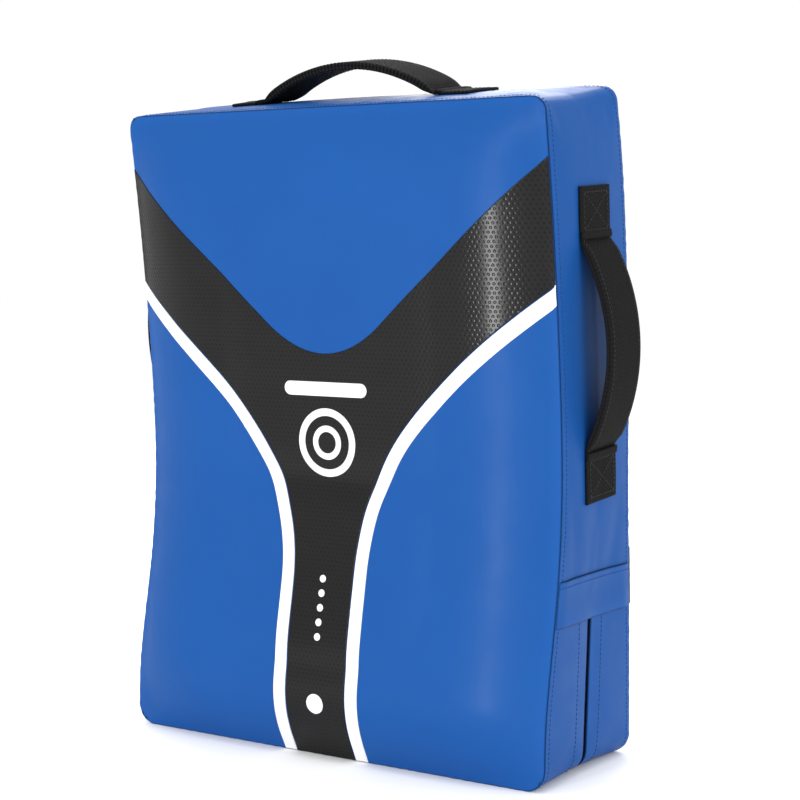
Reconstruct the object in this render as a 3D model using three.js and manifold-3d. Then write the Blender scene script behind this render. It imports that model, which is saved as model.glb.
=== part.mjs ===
// Curved kick shield: a layered foam block in a zipped cover, with a black Y-shaped strike panel, webbing
// handles on the top and both sides, two padded arm loops and a riveted padded grip on the back.
// Millimetres, +Z up, strike face towards -Y. "left" is -X and "right" is +X. It stands on its bottom face.
import * as THREE from 'three';
import { mergeVertices } from 'three/addons/utils/BufferGeometryUtils.js';
import Module from 'manifold-3d';

const wasm = await Module();
wasm.setup();

const { lerp } = THREE.MathUtils;

// ---------------------------------------------------------------- driving dimensions
const WIDTH = 420;
const FRONT_HEIGHT = 544;
const BACK_HEIGHT = 560;
const TOP_RADIUS = 12; // of the rounded corners
const BOTTOM_RADIUS = 18;
const SKIN = 2; // cover material with its lining
const GAP = 0.3; // clearance between neighbouring pieces
const SEAM_GAP = 0.9; // the same between a curved panel's rim and the gusset
const HALF = WIDTH / 2;

// Side outline of the pad: [height, depth] of the front and the back seam.
const FRONT_SEAM = [[0, -80], [60, -77], [165, -59], [240, -54], [330, -58.5], [450, -71.5], [560, -88]];
const BACK_SEAM = [[0, 68.5], [110, 66.5], [230, 62.5], [330, 60.5], [430, 54], [500, 45.5], [560, 33]];

// How far the stuffed faces swell past their seams, and over what width they rise to that.
const FRONT_RISE = 22;
const BACK_RISE = 32;
const SIDE_ROLL = 85;
const END_ROLL = 70;
const ROLL_POWER = 2.2;

// Foam layers inside the cover.
const STRIKE_FOAM = 32;
const REAR_FOAM = 28;
const FOAM_INSET = 3;
const FOAM_GAP = 1.6; // under the swelling faces
const CORE_INSET = 8.4; // leaves room for the zip
const REAR_FOAM_DROP = 4; // under the top gusset, which slopes down to the front

// Strike face artwork, for the right half.
const ARM_TOP = 494; // upper edge of the Y's arm at the pad's side
const ARM_SLOPE = 0.84;
const NOTCH_HALF = 55; // half width of the rounded bottom of the V
const ARM_BOTTOM = 399;
const STEM_HALF = 30;
const STEM_TOP = 150;
const STRIPE = 13;
const APPLIQUE = 0.8;

// Gusset seams and the zip, which runs down one side, along the bottom and up the other.
const GUSSET_SEAM_Z = 150;
const ZIP_Y_BOTTOM = -9;
const ZIP_Y_TOP = 0;
const ZIP_ANGLE = Math.atan2(ZIP_Y_TOP - ZIP_Y_BOTTOM, GUSSET_SEAM_Z);
const SLIT_HALF = 2.5;
const TAPE_REACH = 16;
const TAPE_DEPTH = [4.4, 5.2]; // depths below the cover's outside
const TEETH_DEPTH = [3.6, 6.0];
const TEETH_WIDTH = [0.7, 2.6]; // distances from the zip's middle
const SLIDER_Z = 50;
const GARAGE_Z = [128, 165];
const GARAGE_THICK = 1.4;

// Webbing on the back.
const WEB_WIDTH = 50;
const WEB_THICK = 2.4;
const UPPER_BAND_Z = [357, 407];
const LOWER_BAND_Z = [129, 178];

// Handles: the arch springs from half its chord, its inside rises by rise, and it twists beyond cut.
const SIDE_HANDLE = { half: 85, rise: 24, thick: 6, cut: 64, tab: 42, width: WEB_WIDTH };
const TOP_HANDLE = { half: 88, rise: 28, thick: 6, cut: 69, tab: 32, width: WEB_WIDTH };
const ARM_LOOP = { half: 89.2, rise: 58, thick: 12, cut: 68, width: WEB_WIDTH };
const GRIP = { half: 88, rise: 20, thick: 20, cut: 60, width: 38 };
const SIDE_HANDLE_Z = [266, 436];
const SIDE_HANDLE_SHARE = 0.49; // place across the gusset, from front to back
const ARM_LOOP_X = 102;
const GRIP_Z = 472;
const GRIP_SKIN = 1.6;
const RIVET_X = 103;
const RIVET_Z = [449, 496];

// How finely the cover is divided.
const SIDE_STEPS = 12;
const CORNER_STEPS = 4;
const END_STEPS = 4;
const ROLL_ROWS = [26, 38, 50, 66];
const MIDDLE_STEPS = 10;

// ---------------------------------------------------------------- materials
const paint = (color, roughness, metalness = 0) => new THREE.MeshStandardMaterial({ color, roughness, metalness });
const BLUE_LEATHER = paint(0x2f66b8, 0.5);
const BLACK_LEATHER = paint(0x242424, 0.45);
const WHITE_LEATHER = paint(0xf2f2f2, 0.5);
const WEBBING = paint(0x1c1c1c, 0.9);
const FOAM = paint(0xd9d6c8, 0.95);
const ZIP_FABRIC = paint(0x15161a, 0.85);
const DARK_METAL = paint(0x3a3a3e, 0.35, 0.9);
const LABEL = paint(0xf5f5f5, 0.8);

const shield = new THREE.Group();

function addPiece(parent, name, geometry, material) {
  const piece = new THREE.Mesh(geometry, material);
  piece.name = name;
  parent.add(piece);
  return piece;
}

// ---------------------------------------------------------------- the pad's outer form
// Smooth curve through [position, value] knots.
function curveThrough(knots) {
  const slopes = knots.map((knot, i) => {
    const before = knots[Math.max(i - 1, 0)];
    const after = knots[Math.min(i + 1, knots.length - 1)];
    return (after[1] - before[1]) / (after[0] - before[0]);
  });
  return (position) => {
    const last = knots.length - 2;
    const found = knots.findIndex((knot, i) => i <= last && position <= knots[i + 1][0]);
    const i = found < 0 ? last : found;
    const span = knots[i + 1][0] - knots[i][0];
    const t = (position - knots[i][0]) / span;
    const rise = t * t * (3 - 2 * t);
    const bends = slopes[i] * t * (1 - t) ** 2 - slopes[i + 1] * t * t * (1 - t);
    return lerp(knots[i][1], knots[i + 1][1], rise) + span * bends;
  };
}

const frontSeam = curveThrough(FRONT_SEAM);
const backSeam = curveThrough(BACK_SEAM);

// How far the rounded corner pulls the outline in, at a distance from the outline's end.
function cornerPull(distance, radius) {
  const into = Math.min(Math.max(radius - distance, 0), radius);
  return radius - Math.sqrt(radius ** 2 - into ** 2);
}

const radiusAt = (z, height) => (z < height / 2 ? BOTTOM_RADIUS : TOP_RADIUS);

function halfWidthAt(z, height, inset = 0) {
  const fromEnd = Math.min(z, height - z) - inset;
  return HALF - inset - cornerPull(fromEnd, radiusAt(z, height) - inset);
}

function rollOff(distance, width) {
  const share = Math.min(Math.max(distance / width, 0), 1);
  return 1 - (1 - share) ** ROLL_POWER;
}

// Height of a stuffed face over its seams.
function swell(x, z, height) {
  const fromSide = halfWidthAt(z, height) - Math.abs(x);
  const fromEnd = Math.min(z, height - z) - cornerPull(Math.max(HALF - Math.abs(x), 0), radiusAt(z, height));
  return rollOff(fromSide, SIDE_ROLL) * rollOff(fromEnd, END_ROLL);
}

const frontY = (x, z) => frontSeam(z) - FRONT_RISE * swell(x, z, FRONT_HEIGHT);
const backY = (x, z) => backSeam(z) + BACK_RISE * swell(x, z, BACK_HEIGHT);
const zipY = (z) => lerp(ZIP_Y_BOTTOM, ZIP_Y_TOP, z / GUSSET_SEAM_Z);

// ---------------------------------------------------------------- solid building
function steps(from, to, count) {
  return Array.from({ length: count + 1 }, (_, i) => lerp(from, to, i / count));
}

function plain(geometry) {
  geometry.deleteAttribute('normal');
  geometry.deleteAttribute('uv');
  return mergeVertices(geometry);
}

// A box cut at the given stations, with each of its corners moved to place(u, v, w).
function warpedBox(us, vs, ws, place) {
  const box = new THREE.BoxGeometry(1, 1, 1, us.length - 1, vs.length - 1, ws.length - 1);
  const corners = box.attributes.position;
  const station = (list, value) => list[Math.round((value + 0.5) * (list.length - 1))];
  for (let i = 0; i < corners.count; i += 1) {
    const u = station(us, corners.getX(i));
    const v = station(vs, corners.getY(i));
    const w = station(ws, corners.getZ(i));
    corners.setXYZ(i, ...place(u, v, w));
  }
  return plain(box);
}

function solidOf(geometry) {
  const merged = plain(geometry.clone());
  const vertProperties = new Float32Array(merged.attributes.position.array);
  const triVerts = new Uint32Array(merged.index.array);
  return new wasm.Manifold(new wasm.Mesh({ numProp: 3, vertProperties, triVerts }));
}

function geometryOf(solid) {
  const mesh = solid.getMesh();
  const geometry = new THREE.BufferGeometry();
  geometry.setAttribute('position', new THREE.BufferAttribute(new Float32Array(mesh.vertProperties), 3));
  geometry.setIndex(new THREE.BufferAttribute(new Uint32Array(mesh.triVerts), 1));
  return geometry;
}

function cutAway(geometry, tools) {
  const rest = tools.reduce((solid, tool) => solid.subtract(solidOf(tool)), solidOf(geometry));
  return geometryOf(rest);
}

function common(geometryA, geometryB) {
  return geometryOf(solidOf(geometryA).intersect(solidOf(geometryB)));
}

// ---------------------------------------------------------------- faces and foam
// Heights of a face's rows, closer together through the corners and where the face rolls over.
function rowsFor(height, inset) {
  const endRows = (radius) => {
    const turns = steps(0, Math.PI / 2, CORNER_STEPS);
    return [...turns.map((angle) => inset + (radius - inset) * (1 - Math.cos(angle))), ...ROLL_ROWS];
  };
  const last = ROLL_ROWS[ROLL_ROWS.length - 1];
  const middle = steps(last, height - last, MIDDLE_STEPS).slice(1, -1);
  const upper = endRows(TOP_RADIUS).map((z) => height - z).reverse();
  return [...endRows(BOTTOM_RADIUS), ...middle, ...upper];
}

const mirrored = (shares) => [...shares.map((share) => -share), 0, ...[...shares].reverse()];
const COLUMNS = mirrored([1, 0.96, 0.9, 0.82, 0.72, 0.6, 0.3]);
const FOAM_COLUMNS = mirrored([1, 0.92, 0.78, 0.6]);

// A layer of the pad between two depths, each a function of (x, z).
function layer(height, columns, inset, nearY, farY) {
  return warpedBox(columns, [nearY, farY], rowsFor(height, inset), (share, depth, z) => {
    const x = share * halfWidthAt(z, height, inset);
    return [x, depth(x, z), z];
  });
}

function faceLayer(height, surface, outer, inner) {
  const near = (x, z) => surface(x, z) + outer;
  const far = (x, z) => surface(x, z) + inner;
  return layer(height, COLUMNS, 0, near, far);
}

// The part of a thin layer on a face that lies inside a flat outline drawn in x and z.
function appliqueOn(faceGeometry, outline) {
  const depth = 400;
  const prism = new THREE.ExtrudeGeometry(outline, { depth, bevelEnabled: false, curveSegments: 10 });
  prism.rotateX(Math.PI / 2);
  prism.translate(0, depth / 2, 0);
  return common(faceGeometry, prism);
}

// ---------------------------------------------------------------- strips round the edge
// Line along one side, round the corners, across the end and back along the other side. The end is the
// top when up is 1 and the bottom when up is -1; inset moves the line in from the cover's outside.
function wrapLine(endZ, startZ, up, inset) {
  const outer = up > 0 ? TOP_RADIUS : BOTTOM_RADIUS;
  const turnZ = endZ - up * outer;
  const radius = outer - inset;
  const side = steps(startZ, turnZ, SIDE_STEPS).slice(0, -1).map((z) => [HALF - inset, z]);
  const corner = steps(0, Math.PI / 2, CORNER_STEPS).map((angle) => [
    HALF - outer + radius * Math.cos(angle),
    turnZ + up * radius * Math.sin(angle),
  ]);
  const half = [...side, ...corner];
  const endX = HALF - outer;
  const end = steps(-endX, endX, END_STEPS).slice(1, -1).map((x) => [x, endZ - up * inset]);
  return [...half.map(([x, z]) => [-x, z]), ...end, ...half.reverse()];
}

// A strip that follows the wrap line between two long edges, each a depth as a function of height.
function wrapStrip(up, startZ, [frontEnd, backEnd], depths, [front, back]) {
  const insets = up > 0 ? [...depths].reverse() : depths;
  const lines = insets.map((inset) => [frontEnd, backEnd].map((end) => wrapLine(end, startZ, up, inset)));
  const stations = lines[0][0].map((_, i) => i);
  return warpedBox(stations, [0, 1], [0, 1], (i, across, through) => {
    const [x, z] = lines[through][across][i];
    return [x, across ? back(z) : front(z), z];
  });
}

function bottomStrip(depths, front, back) {
  return wrapStrip(-1, GUSSET_SEAM_Z, [0, 0], depths, [front, back]);
}

function addCover() {
  const skin = SKIN + SEAM_GAP;
  const frontEdge = (z) => frontSeam(z) + skin;
  const backEdge = (z) => backSeam(z) - skin;
  addPiece(shield, 'front_panel', faceLayer(FRONT_HEIGHT, frontY, 0, SKIN), BLUE_LEATHER);
  const ends = [FRONT_HEIGHT, BACK_HEIGHT];
  const upper = wrapStrip(1, GUSSET_SEAM_Z + GAP, ends, [0, SKIN], [frontEdge, backEdge]);
  addPiece(shield, 'gusset_upper', upper, BLUE_LEATHER);
  const slitFront = (z) => zipY(z) - SLIT_HALF;
  const slitBack = (z) => zipY(z) + SLIT_HALF;
  addPiece(shield, 'gusset_lower_front', bottomStrip([0, SKIN], frontEdge, slitFront), BLUE_LEATHER);
  addPiece(shield, 'gusset_lower_rear', bottomStrip([0, SKIN], slitBack, backEdge), BLUE_LEATHER);
  const garageEdge = 5;
  const garage = warpedBox(
    [HALF + GAP, HALF + GAP + GARAGE_THICK],
    [(z) => frontSeam(z) + garageEdge, (z) => backSeam(z) - garageEdge],
    steps(...GARAGE_Z, 3),
    (x, edge, z) => [x, edge(z), z],
  );
  addPiece(shield, 'zip_garage', garage, BLUE_LEATHER);
}

// ---------------------------------------------------------------- strike face artwork
// Lower edge of the Y's arm and the side of its stem, out by offset: sideways on side 1 or -1.
function traceArmEdge(shape, side, offset) {
  const stem = STEM_HALF + offset;
  const drop = offset * 1.25;
  shape.lineTo(side * (HALF + 5), ARM_BOTTOM + 4 - drop);
  shape.bezierCurveTo(
    side * (100 + offset * 0.5), 315 - offset,
    side * stem, 260 - offset * 0.4,
    side * stem, STEM_TOP,
  );
  shape.lineTo(side * stem, -5);
}

function yOutline() {
  const outside = HALF + 5;
  const edgeZ = ARM_TOP + 5 * ARM_SLOPE;
  const joinZ = ARM_TOP - (HALF - NOTCH_HALF) * ARM_SLOPE;
  const outline = new THREE.Shape();
  outline.moveTo(-outside, edgeZ);
  outline.lineTo(-NOTCH_HALF, joinZ);
  outline.quadraticCurveTo(0, joinZ - NOTCH_HALF * ARM_SLOPE, NOTCH_HALF, joinZ);
  outline.lineTo(outside, edgeZ);
  traceArmEdge(outline, 1, 0);
  const left = new THREE.Shape();
  left.moveTo(-outside, edgeZ);
  traceArmEdge(left, -1, 0);
  const climb = left.getPoints(12).slice(1).reverse();
  climb.forEach((point) => outline.lineTo(point.x, point.y));
  return outline;
}

function stripeOutline(side) {
  const inner = new THREE.Shape();
  inner.moveTo(side * (HALF + 5), ARM_TOP);
  traceArmEdge(inner, side, 2 * GAP);
  const outer = new THREE.Shape();
  outer.moveTo(side * (HALF + 5), ARM_TOP);
  traceArmEdge(outer, side, STRIPE);
  const down = inner.getPoints(12).slice(1);
  const up = outer.getPoints(12).slice(1).reverse();
  return new THREE.Shape([...down, ...up]);
}

function addArtwork() {
  const cover = () => faceLayer(FRONT_HEIGHT, frontY, -GAP - APPLIQUE, -GAP);
  addPiece(shield, 'front_y_panel', appliqueOn(cover(), yOutline()), BLACK_LEATHER);
  addPiece(shield, 'stripe_left', appliqueOn(cover(), stripeOutline(-1)), WHITE_LEATHER);
  addPiece(shield, 'stripe_right', appliqueOn(cover(), stripeOutline(1)), WHITE_LEATHER);
}

// ---------------------------------------------------------------- places on the back
// A group whose origin is half way from a to b, with X along that chord and Z outwards.
function chordFrame(a, b, outward) {
  const along = b.clone().sub(a).normalize();
  const up = outward.clone().addScaledVector(along, -outward.dot(along)).normalize();
  const across = up.clone().cross(along);
  const frame = new THREE.Group();
  frame.position.copy(a).lerp(b, 0.5);
  frame.quaternion.setFromRotationMatrix(new THREE.Matrix4().makeBasis(along, across, up));
  frame.updateMatrix();
  shield.add(frame);
  return frame;
}

const onBack = (x, z) => new THREE.Vector3(x, backY(x, z), z);

function backFrame(x, z, halfChord) {
  const reach = 12;
  const upwards = onBack(x, z + reach).sub(onBack(x, z - reach));
  const sideways = new THREE.Vector3(1, 0, 0);
  const outward = upwards.clone().cross(sideways);
  return chordFrame(onBack(x - halfChord, z), onBack(x + halfChord, z), outward);
}

function rivetFrames(side) {
  return RIVET_Z.map((z) => backFrame(side * RIVET_X, z, 1));
}

function drilled(geometry, frames) {
  const drills = frames.map((frame) => {
    const drill = new THREE.CylinderGeometry(2.4, 2.4, 24, 12);
    drill.rotateX(Math.PI / 2);
    return drill.applyMatrix4(frame.matrix);
  });
  return cutAway(geometry, drills);
}

// A thin pentagonal piece on the back face round one end of the grip.
function patchOutline(side, half, tip) {
  const inner = GRIP.half + GAP;
  const points = [[inner, -half], [tip - 20, -half], [tip, -9], [tip, 9], [tip - 20, half], [inner, half]];
  return new THREE.Shape(points.map(([x, z]) => new THREE.Vector2(side * x, GRIP_Z + z)));
}

function backPatch(side, outline, frames, [inner, outer]) {
  const xs = steps(side * (GRIP.half - 8), side * (GRIP.half + 42), 6).sort((a, b) => a - b);
  const zs = steps(GRIP_Z - 40, GRIP_Z + 40, 8);
  const place = (x, offset, z) => [x, backY(x, z) + offset, z];
  return drilled(appliqueOn(warpedBox(xs, [inner, outer], zs, place), outline), frames);
}

function addBack() {
  const frames = { left: rivetFrames(-1), right: rivetFrames(1) };
  const back = faceLayer(BACK_HEIGHT, backY, -SKIN, 0);
  addPiece(shield, 'back_panel', drilled(back, [...frames.left, ...frames.right]), BLUE_LEATHER);
  [['upper_band', UPPER_BAND_Z], ['lower_band', LOWER_BAND_Z]].forEach(([name, zs]) => {
    const xs = COLUMNS.map((share) => share * HALF);
    const place = (x, offset, z) => [x, backY(x, z) + offset, z];
    addPiece(shield, name, warpedBox(xs, [GAP, GAP + WEB_THICK], steps(...zs, 2), place), WEBBING);
  });
  [['left', -1], ['right', 1]].forEach(([word, side]) => {
    const patch = backPatch(side, patchOutline(side, 32, 125), frames[word], [GAP, GAP + 1.2]);
    addPiece(shield, `grip_patch_${word}`, patch, BLUE_LEATHER);
    const within = [-SKIN - SEAM_GAP - 1, -SKIN - SEAM_GAP];
    const backing = backPatch(side, patchOutline(side, 30, 120), frames[word], within);
    addPiece(shield, `grip_backing_${word}`, backing, WEBBING);
    frames[word].forEach((frame, i) => addRivet(frame, `rivet_${word}_${i ? 'upper' : 'lower'}`));
  });
}

// A dished rivet: tail behind the cover, shank, and a head with a hollow in its middle.
function addRivet(frame, name) {
  const profile = [
    [0, -5], [3.4, -5], [3.4, -4.2], [1.8, -4.2], [1.8, 1.9], [5.2, 1.9], [5.2, 2.6], [4, 3.7], [2.2, 3.7],
    [1.8, 2.7], [0, 2.7],
  ];
  const rivet = new THREE.LatheGeometry(profile.map(([r, h]) => new THREE.Vector2(r, h)), 14);
  rivet.rotateX(Math.PI / 2);
  addPiece(frame, name, plain(rivet), DARK_METAL);
}

// ---------------------------------------------------------------- foam
function foamPocket(side) {
  const xs = steps(side * (GRIP.half - 6), side * (GRIP.half + 44), 4).sort((a, b) => a - b);
  const place = (x, offset, z) => [x, backY(x, z) + offset, z];
  return warpedBox(xs, [-SKIN - 5.5, 5], steps(GRIP_Z - 38, GRIP_Z + 38, 4), place);
}

function addFoam() {
  const skin = SKIN + FOAM_GAP;
  const split = (x, z) => frontSeam(z) + STRIKE_FOAM;
  const rearSplit = (x, z) => backSeam(z) - REAR_FOAM;
  const underStrike = (x, z) => frontY(x, z) + skin;
  const strike = layer(FRONT_HEIGHT, FOAM_COLUMNS, FOAM_INSET, underStrike, split);
  addPiece(shield, 'foam_strike_layer', strike, FOAM);
  const nearCore = (x, z) => split(x, z) + GAP;
  const farCore = (x, z) => rearSplit(x, z) - GAP;
  addPiece(shield, 'foam_core', layer(FRONT_HEIGHT, [-1, 1], CORE_INSET, nearCore, farCore), FOAM);
  const underBack = (x, z) => backY(x, z) - skin;
  const rear = layer(BACK_HEIGHT - REAR_FOAM_DROP, FOAM_COLUMNS, FOAM_INSET, rearSplit, underBack);
  addPiece(shield, 'foam_rear_layer', cutAway(rear, [foamPocket(-1), foamPocket(1)]), FOAM);
}

// ---------------------------------------------------------------- zip
function addZip() {
  const [near, far] = TEETH_WIDTH;
  const beyond = far + GAP;
  const at = (distance) => (z) => zipY(z) + distance;
  addPiece(shield, 'zip_tape_front', bottomStrip(TAPE_DEPTH, at(-TAPE_REACH), at(-beyond)), ZIP_FABRIC);
  addPiece(shield, 'zip_tape_rear', bottomStrip(TAPE_DEPTH, at(beyond), at(TAPE_REACH)), ZIP_FABRIC);
  addPiece(shield, 'zip_teeth_front', bottomStrip(TEETH_DEPTH, at(-far), at(-near)), ZIP_FABRIC);
  addPiece(shield, 'zip_teeth_rear', bottomStrip(TEETH_DEPTH, at(near), at(far)), ZIP_FABRIC);
}

// The slider's section, as [depth below the cover, distance from the middle]: two plates joined by a web
// that runs between the rows of teeth, with lips down over them and slots for the tapes.
function sliderSection() {
  const half = [
    [2.3, 4.4], [4.1, 4.4], [4.1, 2.9], [3.3, 2.9], [3.3, 0.4],
    [6.3, 0.4], [6.3, 2.9], [5.5, 2.9], [5.5, 4.4], [7.3, 4.4],
  ];
  const other = [...half].reverse().map(([depth, across]) => [depth, -across]);
  return new THREE.Shape([...half, ...other].map(([depth, across]) => new THREE.Vector2(depth, across)));
}

function addSlider() {
  const frame = new THREE.Group();
  frame.position.set(-HALF, zipY(SLIDER_Z), SLIDER_Z);
  frame.rotation.x = -ZIP_ANGLE;
  shield.add(frame);
  const long = 12;
  const lugDepth = 1.1;
  const plates = new THREE.ExtrudeGeometry(sliderSection(), { depth: long, bevelEnabled: false });
  plates.translate(0, 0, -long / 2);
  const lug = new THREE.CylinderGeometry(lugDepth, lugDepth, 2.4, 12).translate(lugDepth, 0, 0);
  const neck = new THREE.BoxGeometry(1.6, 2, 1.6).translate(1.9, 0, 0);
  const slider = solidOf(plates).add(solidOf(lug)).add(solidOf(neck));
  addPiece(frame, 'zip_slider', geometryOf(slider), DARK_METAL);
  const pull = new THREE.BoxGeometry(1.2, 3, 20).translate(lugDepth, 0, -lugDepth - GAP - 10);
  addPiece(frame, 'zip_pull', plain(pull), DARK_METAL);
}

// ---------------------------------------------------------------- handles
// The band between two arcs round one centre, from one chord position to another, above the base plane.
function arcBand({ half, rise, thick, width }, from, to) {
  const innerRadius = half === ARM_LOOP.half
    ? (half ** 2 + (rise + thick) ** 2) / (2 * (rise + thick)) - thick
    : (half ** 2 + rise ** 2) / (2 * rise);
  const centre = rise - innerRadius;
  const arc = (radius) => {
    const lands = Math.sqrt(radius ** 2 - (GAP - centre) ** 2);
    const angles = steps(Math.asin(from / radius), Math.asin(Math.min(to, lands) / radius), 12);
    return angles.map((a) => new THREE.Vector2(radius * Math.sin(a), centre + radius * Math.cos(a)));
  };
  const outline = new THREE.Shape([...arc(innerRadius), ...arc(innerRadius + thick).reverse()]);
  return standUp(outline, width);
}

function standUp(outline, width) {
  const band = new THREE.ExtrudeGeometry(outline, { depth: width, bevelEnabled: false });
  band.rotateX(Math.PI / 2);
  band.translate(0, width / 2, 0);
  return band;
}

function addRoots(frame, name, ends, makeRoot, material) {
  ends.forEach((end, i) => {
    const root = addPiece(frame, `${name}_root_${end}`, makeRoot(), material);
    root.rotation.z = i ? 0 : Math.PI;
  });
}

function addWebHandle(name, frame, size, ends) {
  addPiece(frame, `${name}_loop`, plain(arcBand(size, -size.cut, size.cut)), WEBBING);
  const makeRoot = () => plain(arcBand(size, size.cut + GAP, size.half));
  addRoots(frame, name, ends, makeRoot, WEBBING);
  if (!size.tab) return;
  ends.forEach((end, i) => {
    const tab = new THREE.BoxGeometry(size.tab, size.width, WEB_THICK);
    const x = (i ? 1 : -1) * (size.half + GAP + size.tab / 2);
    tab.translate(x, 0, GAP + WEB_THICK / 2);
    addPiece(frame, `${name}_tab_${end}`, plain(tab), WEBBING);
  });
}

function sideHandleFrame(side) {
  const [low, high] = SIDE_HANDLE_Z.map((z) => {
    const y = lerp(frontSeam(z), backSeam(z), SIDE_HANDLE_SHARE);
    return new THREE.Vector3(side * HALF, y, z);
  });
  return chordFrame(low, high, new THREE.Vector3(side, 0, 0));
}

function topHandleFrame() {
  const frontTop = new THREE.Vector3(0, frontSeam(FRONT_HEIGHT), FRONT_HEIGHT);
  const backTop = new THREE.Vector3(0, backSeam(BACK_HEIGHT), BACK_HEIGHT);
  const middle = frontTop.clone().lerp(backTop, 0.5);
  const sideways = new THREE.Vector3(TOP_HANDLE.half, 0, 0);
  const outward = sideways.clone().cross(backTop.clone().sub(frontTop));
  return chordFrame(middle.clone().sub(sideways), middle.clone().add(sideways), outward);
}

function armLoopFrame(side) {
  const middle = (LOWER_BAND_Z[1] + UPPER_BAND_Z[0]) / 2;
  const low = onBack(side * ARM_LOOP_X, middle - ARM_LOOP.half);
  const high = onBack(side * ARM_LOOP_X, middle + ARM_LOOP.half);
  return chordFrame(low, high, new THREE.Vector3(0, 1, 0));
}

function addHandles() {
  addWebHandle('top_handle', topHandleFrame(), TOP_HANDLE, ['left', 'right']);
  [['left', -1], ['right', 1]].forEach(([word, side]) => {
    addWebHandle(`side_handle_${word}`, sideHandleFrame(side), SIDE_HANDLE, ['lower', 'upper']);
    addWebHandle(`arm_loop_${word}`, armLoopFrame(side), ARM_LOOP, ['lower', 'upper']);
  });
}

// ---------------------------------------------------------------- padded grip on the back
// Each end narrows from the sleeve down to the patch under the rivets.
function gripRoot() {
  const outline = new THREE.Shape();
  outline.moveTo(GRIP.cut + GAP, 11);
  outline.quadraticCurveTo(76, 8, 84, GAP);
  outline.lineTo(GRIP.half, GAP);
  outline.lineTo(GRIP.half, 3.5);
  outline.quadraticCurveTo(82, 24, GRIP.cut + GAP, 31.5);
  return plain(standUp(outline, GRIP.width));
}

function addGrip() {
  const frame = backFrame(0, GRIP_Z, GRIP.half);
  const shrunk = (by) => ({
    half: GRIP.half, rise: GRIP.rise + by, thick: GRIP.thick - 2 * by, width: GRIP.width - 2 * by,
  });
  const hollow = arcBand(shrunk(GRIP_SKIN), -GRIP.cut - 1, GRIP.cut + 1);
  const sleeve = cutAway(arcBand(GRIP, -GRIP.cut, GRIP.cut), [hollow]);
  addPiece(frame, 'grip_sleeve', sleeve, BLUE_LEATHER);
  const core = arcBand(shrunk(GRIP_SKIN + GAP), -GRIP.cut + 1, GRIP.cut - 1);
  addPiece(frame, 'grip_core', plain(core), FOAM);
  addRoots(frame, 'grip', ['left', 'right'], gripRoot, BLUE_LEATHER);
  const binding = arcBand({ half: GRIP.half, rise: GRIP.rise + 8, thick: 5, width: 2.5 }, -GRIP.cut, GRIP.cut);
  binding.translate(0, GRIP.width / 2 + GAP + 1.25, 0);
  addPiece(frame, 'grip_binding', plain(binding), WEBBING);
}

// ---------------------------------------------------------------- care label in the left back seam
function addLabel() {
  const baseZ = 372;
  const outline = new THREE.Shape([[0, 0], [18, 3], [0, 26]].map(([x, z]) => new THREE.Vector2(x, z)));
  const label = new THREE.ExtrudeGeometry(outline, { depth: 0.6, bevelEnabled: false });
  label.rotateX(Math.PI / 2);
  label.rotateZ((3 * Math.PI) / 4);
  label.translate(-HALF - 1, backSeam(baseZ) + 2, baseZ);
  addPiece(shield, 'care_label', plain(label), LABEL);
}

addCover();
addArtwork();
addFoam();
addZip();
addSlider();
addBack();
addHandles();
addGrip();
addLabel();

// The origin is under the middle of everything, on the surface that the shield stands on.
const bounds = new THREE.Box3().setFromObject(shield);
const middle = bounds.getCenter(new THREE.Vector3());
shield.position.set(-middle.x, -middle.y, -bounds.min.z);

export default shield;
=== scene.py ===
import math

import bmesh
import bpy
import numpy as np
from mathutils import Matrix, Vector, noise
from mathutils.bvhtree import BVHTree
from mathutils.geometry import delaunay_2d_cdt


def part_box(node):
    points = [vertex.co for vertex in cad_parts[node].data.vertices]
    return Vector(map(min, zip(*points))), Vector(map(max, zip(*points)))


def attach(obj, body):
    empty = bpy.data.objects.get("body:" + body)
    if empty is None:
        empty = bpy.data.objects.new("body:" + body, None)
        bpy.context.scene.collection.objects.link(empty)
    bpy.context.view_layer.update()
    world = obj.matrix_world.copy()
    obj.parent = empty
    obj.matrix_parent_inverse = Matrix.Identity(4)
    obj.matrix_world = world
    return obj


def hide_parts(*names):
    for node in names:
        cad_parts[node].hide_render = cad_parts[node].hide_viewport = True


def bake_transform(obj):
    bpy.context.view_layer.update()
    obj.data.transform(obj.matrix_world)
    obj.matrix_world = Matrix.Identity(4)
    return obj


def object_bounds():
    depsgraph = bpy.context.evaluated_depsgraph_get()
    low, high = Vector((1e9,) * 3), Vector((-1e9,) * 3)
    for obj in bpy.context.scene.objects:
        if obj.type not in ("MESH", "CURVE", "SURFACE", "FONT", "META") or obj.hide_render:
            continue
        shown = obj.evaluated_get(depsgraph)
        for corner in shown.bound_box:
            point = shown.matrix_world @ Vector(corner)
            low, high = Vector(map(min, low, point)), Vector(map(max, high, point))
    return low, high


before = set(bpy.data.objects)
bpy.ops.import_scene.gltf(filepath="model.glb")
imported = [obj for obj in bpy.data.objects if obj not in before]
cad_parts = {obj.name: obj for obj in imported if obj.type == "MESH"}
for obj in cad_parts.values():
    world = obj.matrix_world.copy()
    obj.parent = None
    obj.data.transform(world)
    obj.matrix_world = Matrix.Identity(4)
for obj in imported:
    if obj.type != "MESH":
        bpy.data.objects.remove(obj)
cad_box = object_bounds()

MM = 0.001

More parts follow.
